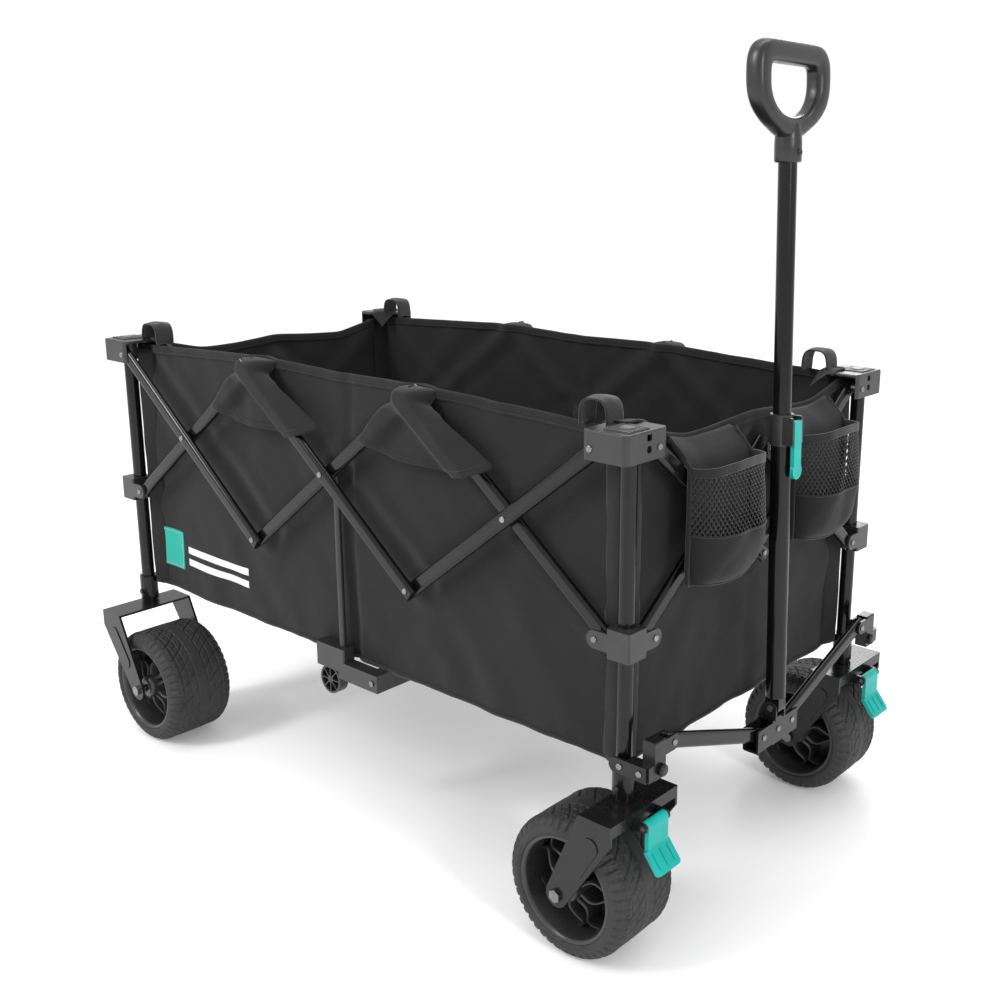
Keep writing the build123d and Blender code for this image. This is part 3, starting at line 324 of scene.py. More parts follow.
def woven(name, dark, light, pitch, relief, rough=0.8, rib=1.0, sheen=0.25):
    """Cloth woven from threads a pitch apart, with soft clouding. rib widens the threads one way."""
    r = Recipe(name)
    where = r.place(True)
    split = r.tree.nodes.new("ShaderNodeSeparateXYZ")
    r.put(split.inputs[0], where)
    warp = r.math("SINE", r.math("MULTIPLY", split.outputs[0], pi / pitch))
    weft = r.math("SINE", r.math("MULTIPLY", split.outputs[1], pi / (pitch * rib)))
    thread = r.math("ABSOLUTE", r.math("MULTIPLY", warp, weft))
    cloud = r.noise(where, 9.0, 5.0)
    slub = r.noise(where, 420.0, 3.0)
    tone = r.math("ADD", r.math("MULTIPLY", cloud, 0.55), r.math("MULTIPLY", thread, 0.3))
    tone = r.math("ADD", tone, r.math("MULTIPLY", slub, 0.25))
    r.put(r.shader.inputs["Base Color"], r.blend(r.spread(tone, 0.0, 1.0, 0.3, 0.85), dark, light))
    r.put(r.shader.inputs["Roughness"], r.spread(slub, rough - 0.08, rough + 0.08))
    pucker = r.bump(r.noise(where, 45.0, 4.0), 1.2 * MM, 0.35)
    r.put(r.shader.inputs["Normal"], r.bump(r.math("ADD", thread, slub), relief, 0.8, pucker))
    r.shader.inputs["Sheen Weight"].default_value = sheen
    r.shader.inputs["Sheen Roughness"].default_value = 0.45
    r.shader.inputs["Specular IOR Level"].default_value = 0.22
    return r.material


CLOTH = woven("polyester_cloth", grey(0.008), grey(0.015), 0.9 * MM, 0.12 * MM, sheen=0.1)
BINDING = woven("edge_binding", grey(0.010), grey(0.022), 1.1 * MM, 0.2 * MM, 0.75, 2.2)
WEBBING = woven("ribbed_webbing", grey(0.010), grey(0.030), 1.9 * MM, 0.5 * MM, 0.7, 0.6)
THREAD = woven("thread", grey(0.020), grey(0.040), 0.6 * MM, 0.1 * MM, 0.6)
NET = woven("net_cord", grey(0.012), grey(0.024), 0.5 * MM, 0.1 * MM, 0.6)
LABEL = woven("woven_label", (0.0, 0.29, 0.23, 1), (0.0, 0.42, 0.34, 1), 0.8 * MM, 0.12 * MM, 0.7)
REFLECTOR = woven("reflective_tape", grey(0.62), grey(0.85), 1.6 * MM, 0.1 * MM, 0.45)
STEEL = hard_finish(
    "painted_tube", grey(0.003), grey(0.005), (0.13, 0.18), 900.0, 0.002 * MM, Specular_IOR_Level=0.3
)
BRACKET = hard_finish(
    "painted_bracket", grey(0.005), grey(0.009), (0.22, 0.3), 900.0, 0.003 * MM, Specular_IOR_Level=0.35
)
PLASTIC = hard_finish("moulded_plastic", grey(0.016), grey(0.023), (0.3, 0.42), 1200.0, 0.006 * MM)
GREY_PLASTIC = hard_finish("ribbed_insert", grey(0.05), grey(0.075), (0.3, 0.45), relief=0.01 * MM)
SOFT_GRIP = hard_finish("soft_grip", grey(0.008), grey(0.013), (0.28, 0.4), 1200.0, 0.006 * MM)
DARK_TEAL, PALE_TEAL = (0.0, 0.31, 0.27, 1), (0.0, 0.38, 0.34, 1)
TEAL = hard_finish(
    "teal_plastic", DARK_TEAL, PALE_TEAL, (0.32, 0.44), relief=0.01 * MM, Specular_IOR_Level=0.3
)
RUBBER = hard_finish("tyre_rubber", grey(0.011), grey(0.021, 0.03), (0.55, 0.78), 1300.0, 0.08 * MM)
RIM = hard_finish("rim_plastic", grey(0.020), grey(0.030), (0.26, 0.38), 900.0, 0.003 * MM)
ZINC = hard_finish("dull_zinc", grey(0.16), grey(0.27), (0.2, 0.34), relief=0.004 * MM, Metallic=1.0)


# Carried-over frame nodes
def islands(mesh):
    """An island number for each face, and each island's sizes, smallest first."""
    co = np.zeros(len(mesh.vertices) * 3)
    mesh.vertices.foreach_get("co", co)
    places, same = np.unique(np.round(co.reshape(-1, 3), 6), axis=0, return_inverse=True)
    same = same.ravel()
    edges = np.zeros(len(mesh.edges) * 2, int)
    mesh.edges.foreach_get("vertices", edges)
    a, b = same[edges.reshape(-1, 2)].T
    label = np.arange(len(places))
    while True:
        low = np.minimum(label[a], label[b])
        after = label.copy()
        np.minimum.at(after, a, low)
        np.minimum.at(after, b, low)
        after = after[after]
        if (after == label).all():
            break
        label = after
    starts = np.zeros(len(mesh.polygons), int)
    mesh.polygons.foreach_get("loop_start", starts)
    corners = np.zeros(len(mesh.loops), int)
    mesh.loops.foreach_get("vertex_index", corners)
    face = label[same[corners[starts]]]
    sizes = {}
    for island in np.unique(label):
        own = places[label == island]
        sizes[island] = np.sort(own.max(0) - own.min(0))
    return face, sizes


RIVET_D = 7.8 * MM
INSERT_D = (34 * MM, 18 * MM)
# Material slots of a painted node
RIVET_SLOT, INSERT_SLOT, REST_SLOT = 1, 2, 3


def paint(node, base, rest=None):
    """Gives a frame node its material. Rivets and cap inserts are picked out by their size.
    rest is for the other pieces but the largest."""
    mesh = frame["nodes"][node].data
    mesh.materials.clear()
    for material in (base, ZINC, GREY_PLASTIC, rest or base):
        mesh.materials.append(material)
    face, sizes = islands(mesh)
    largest = max(sizes, key=lambda i: sizes[i].prod())
    chosen = np.zeros(len(face), int)
    for island, size in sizes.items():
        round_head = [abs(a - RIVET_D) < 0.3 * MM for a in size]
        insert = [abs(size[2] - d) < 0.2 * MM and abs(size[1] - d) < 0.2 * MM for d in INSERT_D]
        if sum(round_head) >= 2:
            chosen[face == island] = RIVET_SLOT
        elif any(insert):
            chosen[face == island] = INSERT_SLOT
        elif island != largest:
            chosen[face == island] = REST_SLOT
    mesh.polygons.foreach_set("material_index", chosen)
    mesh.update()


for name in frame["nodes"]:
    if name.endswith(("_cap", "_slider")) or name == "handle_clamp":
        paint(name, PLASTIC)
    elif name.endswith("_upright"):
        paint(name, PLASTIC, PLASTIC)
    elif name.endswith("_pedal") or name == "handle_clamp_lever":
        paint(name, TEAL)
    elif name.endswith("_fork"):
        paint(name, BRACKET, ZINC)
    elif name.endswith("_bracket") or name == "draw_yoke":
        paint(name, BRACKET)
    elif "cloth" not in name and not name.endswith("_wheel"):
        paint(name, STEEL, PLASTIC if "_bar_" in name or "_arm" in name else STEEL)


# Tub walls
CLOTH_T = 1.2 * MM
# Where the bars cross the walls, as (along, height) pairs of ends
SIDE_LINES = []
for sign in (-1, 1):
    top, foot = (sign * SIDE_TOP.x, SIDE_TOP.z), (sign * SIDE_LOW.x, SIDE_LOW.z)
    peak, slide = (sign * HINGE_X, HINGE_TOP), (sign * SLIDER.x, SLIDER.z)
    far_peak, cross = (-peak[0], peak[1]), (0, SIDE_CROSS.z)
    SIDE_LINES += [(top, foot), (slide, far_peak), (foot, cross), (cross, peak)]
END_LINES = []
for sign in (-1, 1):
    END_LINES.append(((sign * END_TOP.y, END_TOP.z), (0, END_LOW.z)))
    END_LINES.append(((sign * END_TOP.y, SLIDER.z), (0, END_HINGE_TOP)))
# The heights of the hems
SIDE_RIM = along(
    [
        (-WALL_X, 0.602),
        (-0.9 * WALL_X, 0.605),
        (-HINGE_X, 0.618),
        (0, 0.6135),
        (HINGE_X, 0.618),
        (0.9 * WALL_X, 0.608),
        (WALL_X, 0.606),
    ]
)
END_RIM = along(
    [
        (-WALL_Y, 0.608),
        (-0.83 * WALL_Y, 0.602),
        (-0.58 * WALL_Y, 0.587),
        (-0.3 * WALL_Y, 0.588),
        (0, 0.594),
        (0.3 * WALL_Y, 0.588),
        (0.58 * WALL_Y, 0.585),
        (0.83 * WALL_Y, 0.598),
        (WALL_Y, 0.608),
    ]
)
STEP = 5 * MM  # mesh size along the walls
WALL_ROWS = 76
HEM_DROP = 11 * MM
# The rolled hem's section, as (out in mm, drop as a share of the hem) pairs
HEM = [(1.7, -1.0), (1.9, -0.5), (1.8, -0.1), (0.9, 0.12)]
HEM += [(-out, drop) for out, drop in reversed(HEM)]


WALL_HEIGHT = 0.38  # about how high the walls are


def drape(u, z, half, lines, seed, fold_at=None):
    """How far a wall stands out from flat: a full belly, dents along the bars, folds and hem puckers."""
    lift = (z - CLOTH_LOW) / WALL_HEIGHT
    out = 2.5 * MM * np.cos(pi * u / (2 * half)) * np.sin(pi * np.clip(lift, 0, 1))
    out += 3.0 * MM * ripple(u, z, 0.15, seed)
    out += 2.0 * MM * ripple(u, 0.22 * z, 0.045, seed + 1) * np.clip(1.2 - lift, 0, 1)
    for k, lean in enumerate((0.8, -0.8)):
        out += 1.3 * MM * ripple(u + lean * z, 0.25 * (u - lean * z), 0.04, seed + 2 + k)
    for start, end in lines:
        away = line_distance(u, z, start, end)
        out -= 3.2 * MM * np.exp(-((away / (13 * MM)) ** 2))
        out += 1.6 * MM * np.exp(-(((away - 27 * MM) / (12 * MM)) ** 2))
    out += 0.8 * MM * ripple(u, 0.1 * z, 0.016, seed + 5) * np.exp(-(z - CLOTH_LOW) / (30 * MM))
    out += 0.9 * MM * ripple(u, 0.1 * z, 0.016, seed + 6) * np.exp(-np.clip(0.6 - z, 0, 1) / (18 * MM))
    if fold_at is not None:
        middle = fold_at + 5 * MM * (lift - 0.2)
        out -= 5.5 * MM * np.exp(-(((u - middle) / (8 * MM)) ** 2)) * np.clip(1.25 - lift, 0, 1)
    edge = np.clip((half - np.abs(u)) / (70 * MM), 0, 1)
    limit = (1.5 + 3.5 * edge) * MM
    out = np.where(out > limit, limit + 0.25 * (1 - np.exp(-(out - limit) / MM)) * MM, out)
    return out * np.clip((half - np.abs(u)) / (25 * MM), 0.1, 1)


def wall_point(across, sign, u, out, z):
    """A point on a wall: across is 0 for the long walls and 1 for the ends."""
    base = (WALL_Y, WALL_X)[across]
    points = np.zeros(np.shape(u) + (3,))
    points[..., across] = u
    points[..., 1 - across] = sign * (base - CLOTH_T / 2 + out)
    points[..., 2] = z
    points[..., 0] += MIDDLE_X
    return points


def wall(name, body, across, sign, rim, lines, seed, fold_at=None):
    """One wall of the tub with its rolled hem, stitching and bottom piping."""
    half = (WALL_X, WALL_Y)[across]
    columns = int(2 * half / STEP)
    u_line = np.linspace(-half, half, columns)
    share = np.linspace(0, 1, WALL_ROWS)
    u, v = np.meshgrid(u_line, share)
    z = CLOTH_LOW + v * (rim(u) - CLOTH_LOW)
    out = drape(u, z, half, lines, seed, fold_at)
    flat_map = np.stack([u, z], 2)
    sheet = add_grid(name, wall_point(across, sign, u, out, z), [CLOTH], flat_map, CLOTH_T, 1)
    hem_rows = []
    top_out = drape(u_line, rim(u_line) - HEM_DROP / 2, half, lines, seed, fold_at)
    for side, drop in HEM:
        height = rim(u_line) + drop * HEM_DROP
        hem_rows.append(wall_point(across, sign, u_line, top_out + side * MM, height))
    pieces = [add_grid(name + "_hem", np.array(hem_rows), [CLOTH], None, 0.9 * MM, 1)]
    for label, side in (("outer", 1), ("inner", -1)):
        seam = rim(u_line) - 0.78 * HEM_DROP
        path = wall_point(across, sign, u_line, top_out + side * 2.5 * MM, seam)
        facing = [0, 0, 0]
        facing[1 - across] = sign * side
        pieces.append(dashes(f"{name}_{label}_stitches", path, facing, THREAD))
    foot_level = np.full(columns, CLOTH_LOW)
    low_out = drape(u_line, foot_level, half, lines, seed, fold_at)
    foot = wall_point(across, sign, u_line, low_out + 0.4 * MM, foot_level + 1.5 * MM)
    pieces.append(tube(name + "_piping", foot, 2.6 * MM, BINDING))
    for piece in (sheet, *pieces):
        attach(piece, body)
        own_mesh(piece)
    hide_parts(name)
    mean_height = float(np.mean(rim(u_line))) - CLOTH_LOW


# The right wall's folds, which the pieces sewn on it follow too
RIGHT_SEED, RIGHT_FOLD = 11, 13 * MM
wall("right_cloth_wall", "rear_right_corner", 0, -1, SIDE_RIM, SIDE_LINES, RIGHT_SEED, RIGHT_FOLD)
wall("left_cloth_wall", "rear_left_corner", 0, 1, SIDE_RIM, SIDE_LINES, 31, 9 * MM)
wall("front_cloth_wall", "front_right_corner", 1, 1, END_RIM, END_LINES, 51)
wall("rear_cloth_wall", "rear_right_corner", 1, -1, END_RIM, END_LINES, 71)


# Floor, in two leaves that slide over each other when the frame folds
def floor_leaf(name, body, x0, x1, rise, seed):
    """Half of the tub's floor, a stiffened panel in cloth."""
    reach = WALL_Y - 3 * MM
    x, y = np.meshgrid(np.linspace(x0, x1, 70), np.linspace(-reach, reach, 70))
    z = CLOTH_LOW + rise + 1.2 * MM * (1 + ripple(x, y, 0.11, seed))
    z += 0.5 * MM * (1 + ripple(x, y, 0.03, seed + 1))
    points = np.stack([x + MIDDLE_X, y, z], 2)
    leaf = add_grid(name, points, [CLOTH], np.stack([x, y], 2), CLOTH_T)
    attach(leaf, body)
    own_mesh(leaf)
    return leaf


LEAF_END = WALL_X - 9 * MM
rear_leaf = floor_leaf("floor_rear_leaf", "rear_right_corner", -LEAF_END, 0, 0.8 * MM, 90)
floor_leaf("floor_front_leaf", "front_right_corner", 0, LEAF_END, 5.5 * MM, 95)
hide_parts("cloth_floor")


# Flaps over the upper bar hinges of the long sides
FLAP_ROWS, FLAP_COLUMNS = 34, 36
BAR_FALL = 0.767  # how far the bars fall for each metre along
# From the rim over the hinge, as (share of the flap, out in mm, rise in mm)
FLAP_TOP = [(0.0, 0.5, -5.0), (0.07, 8.0, 0.5), (0.14, 26.0, 1.5), (0.2, 40.0, -1.5), (0.26, 42.0, -8.0)]


def flap(name, body, sign, at_x):
    """A tent of cloth sewn to the rim, hanging over the two bars that meet under it."""
    peak = float(SIDE_RIM(at_x))
    u, v = np.meshgrid(np.linspace(0, 1, FLAP_COLUMNS), np.linspace(0, 1, FLAP_ROWS))
    top_v, top_out, top_rise = (np.array(column) for column in zip(*FLAP_TOP))
    lower = np.clip((v - 0.26) / 0.74, 0, 1)
    left = -24 - 62 * lower
    right = 28 + 108 * lower
    border = np.abs(2 * u - 1)
    spread_x = (left + (right - left) * u) * MM
    hem = 73 + 22 * np.sin(pi * u) ** 0.7 + 2.5 * np.sin(9 * u)
    rise = np.where(v < 0.26, np.interp(v, top_v, top_rise), -8 - (hem - 8) * lower)
    rise = rise - 12 * border**4 * np.clip(1 - np.abs(v - 0.22) / 0.22, 0, 1)
    x = at_x + spread_x
    z = peak + rise * MM
    peak_point = (at_x, HINGE_TOP)
    down_left = (at_x - 0.3, HINGE_TOP - 0.3 * BAR_FALL)
    down_right = (at_x + 0.3, HINGE_TOP - 0.3 * BAR_FALL)
    resting = [22 - 16 * border**2.5 * (1 - 0.4 * lower)]
    for end, level in ((down_left, 33.0), (down_right, 44.0)):
        away = np.clip(line_distance(x, z, peak_point, end) / MM - 9.5, 0, None)
        resting.append(level - 1.15 * away)
    hang = 2.5 * np.log(sum(np.exp(level / 2.5) for level in resting))
    hang = hang + 0.9 * ripple(x, 0.3 * z, 0.02, int(1000 * (at_x + 1)))
    hang = hang + 2.0 * lower**3 * np.sin(7 * u + at_x)
    share = np.clip((v - 0.2) / 0.3, 0, 1)
    crest = np.interp(v, top_v, top_out) * (1 - 0.75 * border**5)
    out = np.where(v < 0.2, crest, crest * (1 - share) + hang * share) * MM
    points = wall_point(0, sign, x, out, z)
    cover = add_grid(name, points, [CLOTH], None, 1.1 * MM, 1)
    sewn = FLAP_ROWS - 3
    path = wall_point(0, sign, x[sewn], out[sewn] + 0.9 * MM, z[sewn])
    stitches = dashes(f"{name}_hem_stitches", path, (0, sign, 0), THREAD)
    for piece in (cover, stitches):
        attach(piece, body)
        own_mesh(piece)


for side, sign in (("right", -1), ("left", 1)):
    for place, at_x in (("rear", -HINGE_X), ("front", HINGE_X)):
        flap(f"{side}_{place}_flap", f"rear_{side}_corner", sign, at_x)


# Cloth at the corners
GUSSET_TOP = 0.598


def patch_edge(fore, left, x, y, z, edge):
    """The points along one edge of a corner patch."""
    return np.stack([MIDDLE_X + fore * x[edge], left * y[edge], z[edge]], 1)


def corner_cloth(corner):
    """A corner's webbing carry loop, the patch that lies on its cap and the gusset round its post."""
    fore = 1 if corner.startswith("front") else -1
    left = 1 if corner.endswith("left") else -1
    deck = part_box(f"{corner}_cap")[1].z - 1.4 * MM
    body = f"{corner}_corner"
    arch = np.linspace(0, pi, 22)
    centre_x = HALF_X - 52 * MM
    reach_x = centre_x + 19 * MM * rounded(np.cos(arch), 0.55)
    rise = deck - 6 * MM + 30 * MM * np.sin(arch) ** 0.6
    widths = np.linspace(-14, 14, 8) * MM
    strap = np.zeros((len(arch), len(widths), 3))
    strap[..., 0] = MIDDLE_X + fore * reach_x[:, None]
    strap[..., 1] = left * (HALF_Y - 17 * MM + widths[None, :])
    strap[..., 2] = rise[:, None] + 1.0 * MM * np.cos(widths[None, :] / (5 * MM))
    loop = add_grid(f"{corner}_loop", strap, [WEBBING], None, 1.8 * MM, 1)
    s, t = np.meshgrid(np.linspace(0, 1, 16), np.linspace(0, 1, 16))
    x = HALF_X - (47 - 32 * s) * MM
    y = HALF_Y - (48 - 33 * t) * MM
    sag = 16 * (1 - np.clip(np.hypot(s, t) / 0.8, 0, 1)) + 5 * (1 - s) ** 3 + 5 * (1 - t) ** 3
    z = deck + (1.6 + 0.5 * ripple(x, y, 0.012, 7) - sag) * MM
    cover = np.stack([MIDDLE_X + fore * x, left * y, z], 2)
    patch = add_grid(f"{corner}_patch", cover, [CLOTH], None, 1.2 * MM, 1)
    last_column = patch_edge(fore, left, x, y, z, (slice(None), -1))
    last_row = patch_edge(fore, left, x, y, z, (-1, slice(None)))
    edge_path = np.concatenate([last_column, last_row[::-1]])
    edge = tube(f"{corner}_patch_binding", edge_path, 1.5 * MM, BINDING)
    ends = np.array([(WALL_X - 28 * MM, WALL_Y - 1 * MM), (WALL_X - 1 * MM, WALL_Y - 28 * MM)])
    bulge = np.array([(HALF_X - 7.8 * MM, HALF_Y - 7.8 * MM)])
    pull = (4 * bulge - ends.sum(0)) / 2
    turn = np.linspace(0, 1, 21)[:, None]
    plan = ends[:1] * (1 - turn) ** 2 + 2 * pull * turn * (1 - turn) + ends[1:] * turn**2
    levels = np.linspace(CLOTH_LOW, GUSSET_TOP, 40)
    height, column = np.meshgrid(levels, np.arange(len(plan)), indexing="ij")
    crease = 0.5 * MM * (1 + ripple(height, column * 3 * MM, 0.03, 17))
    gusset_x = MIDDLE_X + fore * (plan[column, 0] - crease)
    gusset_y = left * (plan[column, 1] - crease)
    fill = np.stack([gusset_x, gusset_y, height], 2)
    gusset = add_grid(f"{corner}_gusset", fill, [CLOTH], None, 1.1 * MM)
    for piece in (loop, patch, edge, gusset):
        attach(piece, body)


for corner in CORNERS:
    corner_cloth(corner)


# Cup pockets on the front wall
POCKET_LOW, POCKET_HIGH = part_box("front_pockets")
POCKET_BACK = POCKET_LOW.x + 1.5 * MM
POCKET_NEAR_Y = 50 * MM
FRONT_FACE = MIDDLE_X + WALL_X
MOUTH_Z = 0.560
NET_LOW_Z = 0.487
CUP_LOW_Z = 0.430
ROUND = np.sin(np.linspace(-pi / 2, pi / 2, 61))  # shares of a pocket's width, closer at its sides


def pocket_section(share, depth, squash):
    """A pocket's outline in plan for share from -1 to 1: out from the wall and along it."""
    out = depth * (1 - np.abs(share) ** 3.2) ** 0.5
    return out, squash * share


def pocket(name, left, seed):
    """A cup pocket: tall back, solid cup, net above it and bound edges."""
    centre_y = left * (-POCKET_LOW.y + POCKET_NEAR_Y) / 2
    half = (-POCKET_LOW.y - POCKET_NEAR_Y) / 2
    depth = POCKET_HIGH.x - POCKET_BACK - 2 * MM
    pieces = []

    def surface(share, z):
        low = np.clip((z - CUP_LOW_Z) / (60 * MM), 0, 1)
        fall = np.sqrt(np.clip(1 - (1 - low) ** 2, 0.02, 1))
        gather = 1 - 0.12 * np.clip((z - NET_LOW_Z) / (MOUTH_Z - NET_LOW_Z), 0, 1)
        out, y = pocket_section(share, depth * (0.35 + 0.65 * fall) * gather, half * (0.9 + 0.1 * low))
        reach = np.arcsin(np.clip(share, -1, 1)) * half
        out = out + (2.2 * ripple(reach, z, 0.034, seed) + 1.0 * ripple(reach, z, 0.018, seed + 1)) * MM
        out = np.clip(out, 1.5 * MM, depth + 1 * MM)
        return np.stack([POCKET_BACK + out, centre_y + y, z], -1)

    share, z = np.meshgrid(ROUND, np.linspace(CUP_LOW_Z, NET_LOW_Z, 22))
    sag = 6 * MM * np.cos(share * pi / 2) * np.clip(1 - (z - CUP_LOW_Z) / (40 * MM), 0, 1)
    cup_points = surface(share, z)
    cup_points[..., 2] -= sag
    cup = add_grid(name + "_cup", cup_points, [CLOTH], None, 1.1 * MM, 1)
    pieces.append(cup)
    under = cup_points[0]
    t = np.linspace(0, 1, 8)[:, None, None]
    back_edge = under.copy()
    back_edge[:, 0] = POCKET_BACK + 0.5 * MM
    base = back_edge[None] * (1 - t) + under[None] * t
    pieces.append(add_grid(name + "_base", base, [CLOTH], None, 1.1 * MM))
    across = np.linspace(-1, 1, 29)
    level = np.linspace(NET_LOW_Z - 2 * MM, MOUTH_Z - 4 * MM, 17)
    verts, faces = [], []
    columns = len(across)
    for row, height in enumerate(level):
        shift = 0.5 * (row % 2) * (across[1] - across[0])
        places = np.clip(across + shift, -1, 1)
        verts += list(surface(np.sin(places * pi / 2), np.full(columns, height)))
    for row in range(len(level) - 2):
        for j in range(1, columns - 1):
            a = row * columns + j
            b = (row + 1) * columns + j
            c = (row + 2) * columns + j
            side = b - 1 if row % 2 == 0 else b + 1
            faces.append((a, max(b, side), c, min(b, side)))
    net = add(name + "_net", verts, faces, [NET])
    wire = net.modifiers.new("cords", "WIREFRAME")
    wire.thickness, wire.use_replace, wire.use_boundary = 1.3 * MM, True, True
    pieces.append(net)
    s, t = np.meshgrid(np.linspace(-1, 1, 30), np.linspace(0, 1, 30))
    back_top = END_RIM(centre_y + half * s) - 3 * MM
    z = CUP_LOW_Z - 4 * MM + t * (back_top - CUP_LOW_Z + 4 * MM)
    out = 1.2 * MM * ripple(s * half, z, 0.03, seed + 3) + 5 * MM * (1 - t) * (1 - s**2)
    lean = np.clip((z - MOUTH_Z) / (back_top - MOUTH_Z), 0, 1)
    x = POCKET_BACK + out - lean**1.5 * (POCKET_BACK - FRONT_FACE - 4 * MM)
    back = np.stack([x, centre_y + half * s, z], 2)
    pieces.append(add_grid(name + "_back", back, [CLOTH], None, 1.1 * MM, 1))
    mouth = surface(ROUND, np.full(len(ROUND), MOUTH_Z))
    mouth[:, 2] += 3 * MM * np.cos(np.linspace(-pi, pi, len(ROUND)))
    band = np.stack([mouth + (0, 0, d * MM) for d in (-5, -3, 0, 3, 5)])
    pieces.append(add_grid(name + "_mouth_band", band, [BINDING], None, 2.4 * MM, 1))
    seam = surface(ROUND, np.full(len(ROUND), NET_LOW_Z)) + (0.6 * MM, 0, 0)
    pieces.append(tube(name + "_net_seam", seam, 1.3 * MM, BINDING))
    for label, end in (("near", -1), ("far", 1)):
        side_top = float(END_RIM(centre_y + end * half)) - 6 * MM
        z = np.linspace(CUP_LOW_Z - 2 * MM, side_top, 40)
        lean = np.clip((z - MOUTH_Z) / (30 * MM), 0, 1)
        x = POCKET_BACK + 1.5 * MM - lean * (POCKET_BACK - FRONT_FACE - 5 * MM)
        path = np.stack([x, np.full(40, centre_y + end * half), z], 1)
        path[:, 1] += end * 1.2 * MM * ripple(z, z * 0, 0.03, seed + 5)
        pieces.append(tube(f"{name}_{label}_binding", path, 3.2 * MM, BINDING, 10, 0.45))
    foot = under + (0.5 * MM, 0, -0.5 * MM)
    pieces.append(tube(name + "_foot_piping", foot, 1.6 * MM, BINDING))
    row = surface(ROUND, np.full(len(ROUND), MOUTH_Z - 7 * MM)) + (1.0 * MM, 0, 0)
    pieces.append(dashes(name + "_mouth_stitches", row, (1, 0, 0), THREAD))
    for piece in pieces:
        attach(piece, "front_right_corner")
        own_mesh(piece)
    return cup


right_cup = pocket("right_pocket", -1, 120)
pocket("left_pocket", 1, 140)
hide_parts("front_pockets")


# Plain label and reflective strips low on the right side
def on_right_wall(u, z, lift):
    """Points a lift out from the right wall, following its folds."""
    out = drape(u, z, WALL_X, SIDE_LINES, RIGHT_SEED, RIGHT_FOLD)
    return wall_point(0, -1, u, out + lift, z)


def wall_patch(name, x0, x1, z0, z1, lift, material, thickness):
    """A flat piece sewn on the right wall."""
    u, z = np.meshgrid(np.linspace(x0, x1, 30), np.linspace(z0, z1, 16))
    piece = add_grid(name, on_right_wall(u, z, lift), [material], None, thickness)
    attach(piece, "rear_right_corner")
    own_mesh(piece)


LABEL_X, LABEL_Z = (-0.452, -0.392), (0.262, 0.322)
wall_patch("side_label", *LABEL_X, *LABEL_Z, 1.2 * MM, LABEL, 1.0 * MM)
STRIP_X, STRIP_H = (-0.378, -0.222), 10.5 * MM
for number, low in enumerate((0.273, 0.292)):
    name = f"reflective_strip_{number}"
    wall_patch(name, *STRIP_X, low, low + STRIP_H, 1.0 * MM, REFLECTOR, 0.6 * MM)
# The stitches run inside the label's edge
x0, x1 = LABEL_X[0] + 3 * MM, LABEL_X[1] - 3 * MM
z0, z1 = LABEL_Z[0] + 3 * MM, LABEL_Z[1] - 3 * MM
label_edge = [(x0, z0), (x1, z0), (x1, z1), (x0, z1), (x0, z0)]
border = []
for (ax, az), (bx, bz) in zip(label_edge, label_edge[1:]):
    border.append(on_right_wall(np.linspace(ax, bx, 12), np.linspace(az, bz, 12), 1.9 * MM))
border_stitches = dashes("label_stitches", np.concatenate(border), (0, -1, 0), REFLECTOR)
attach(border_stitches, "rear_right_corner")
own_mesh(border_stitches)


# Wheels
WHEEL_LOW, WHEEL_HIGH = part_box("front_right_wheel")
WHEEL_R = (WHEEL_HIGH.z - WHEEL_LOW.z) / 2
WHEEL_HALF = 51 * MM
RIM_R = 63 * MM
TYRE_SECTIONS = 540
TREAD_BLOCKS = 22
LUGS = 2 * TREAD_BLOCKS


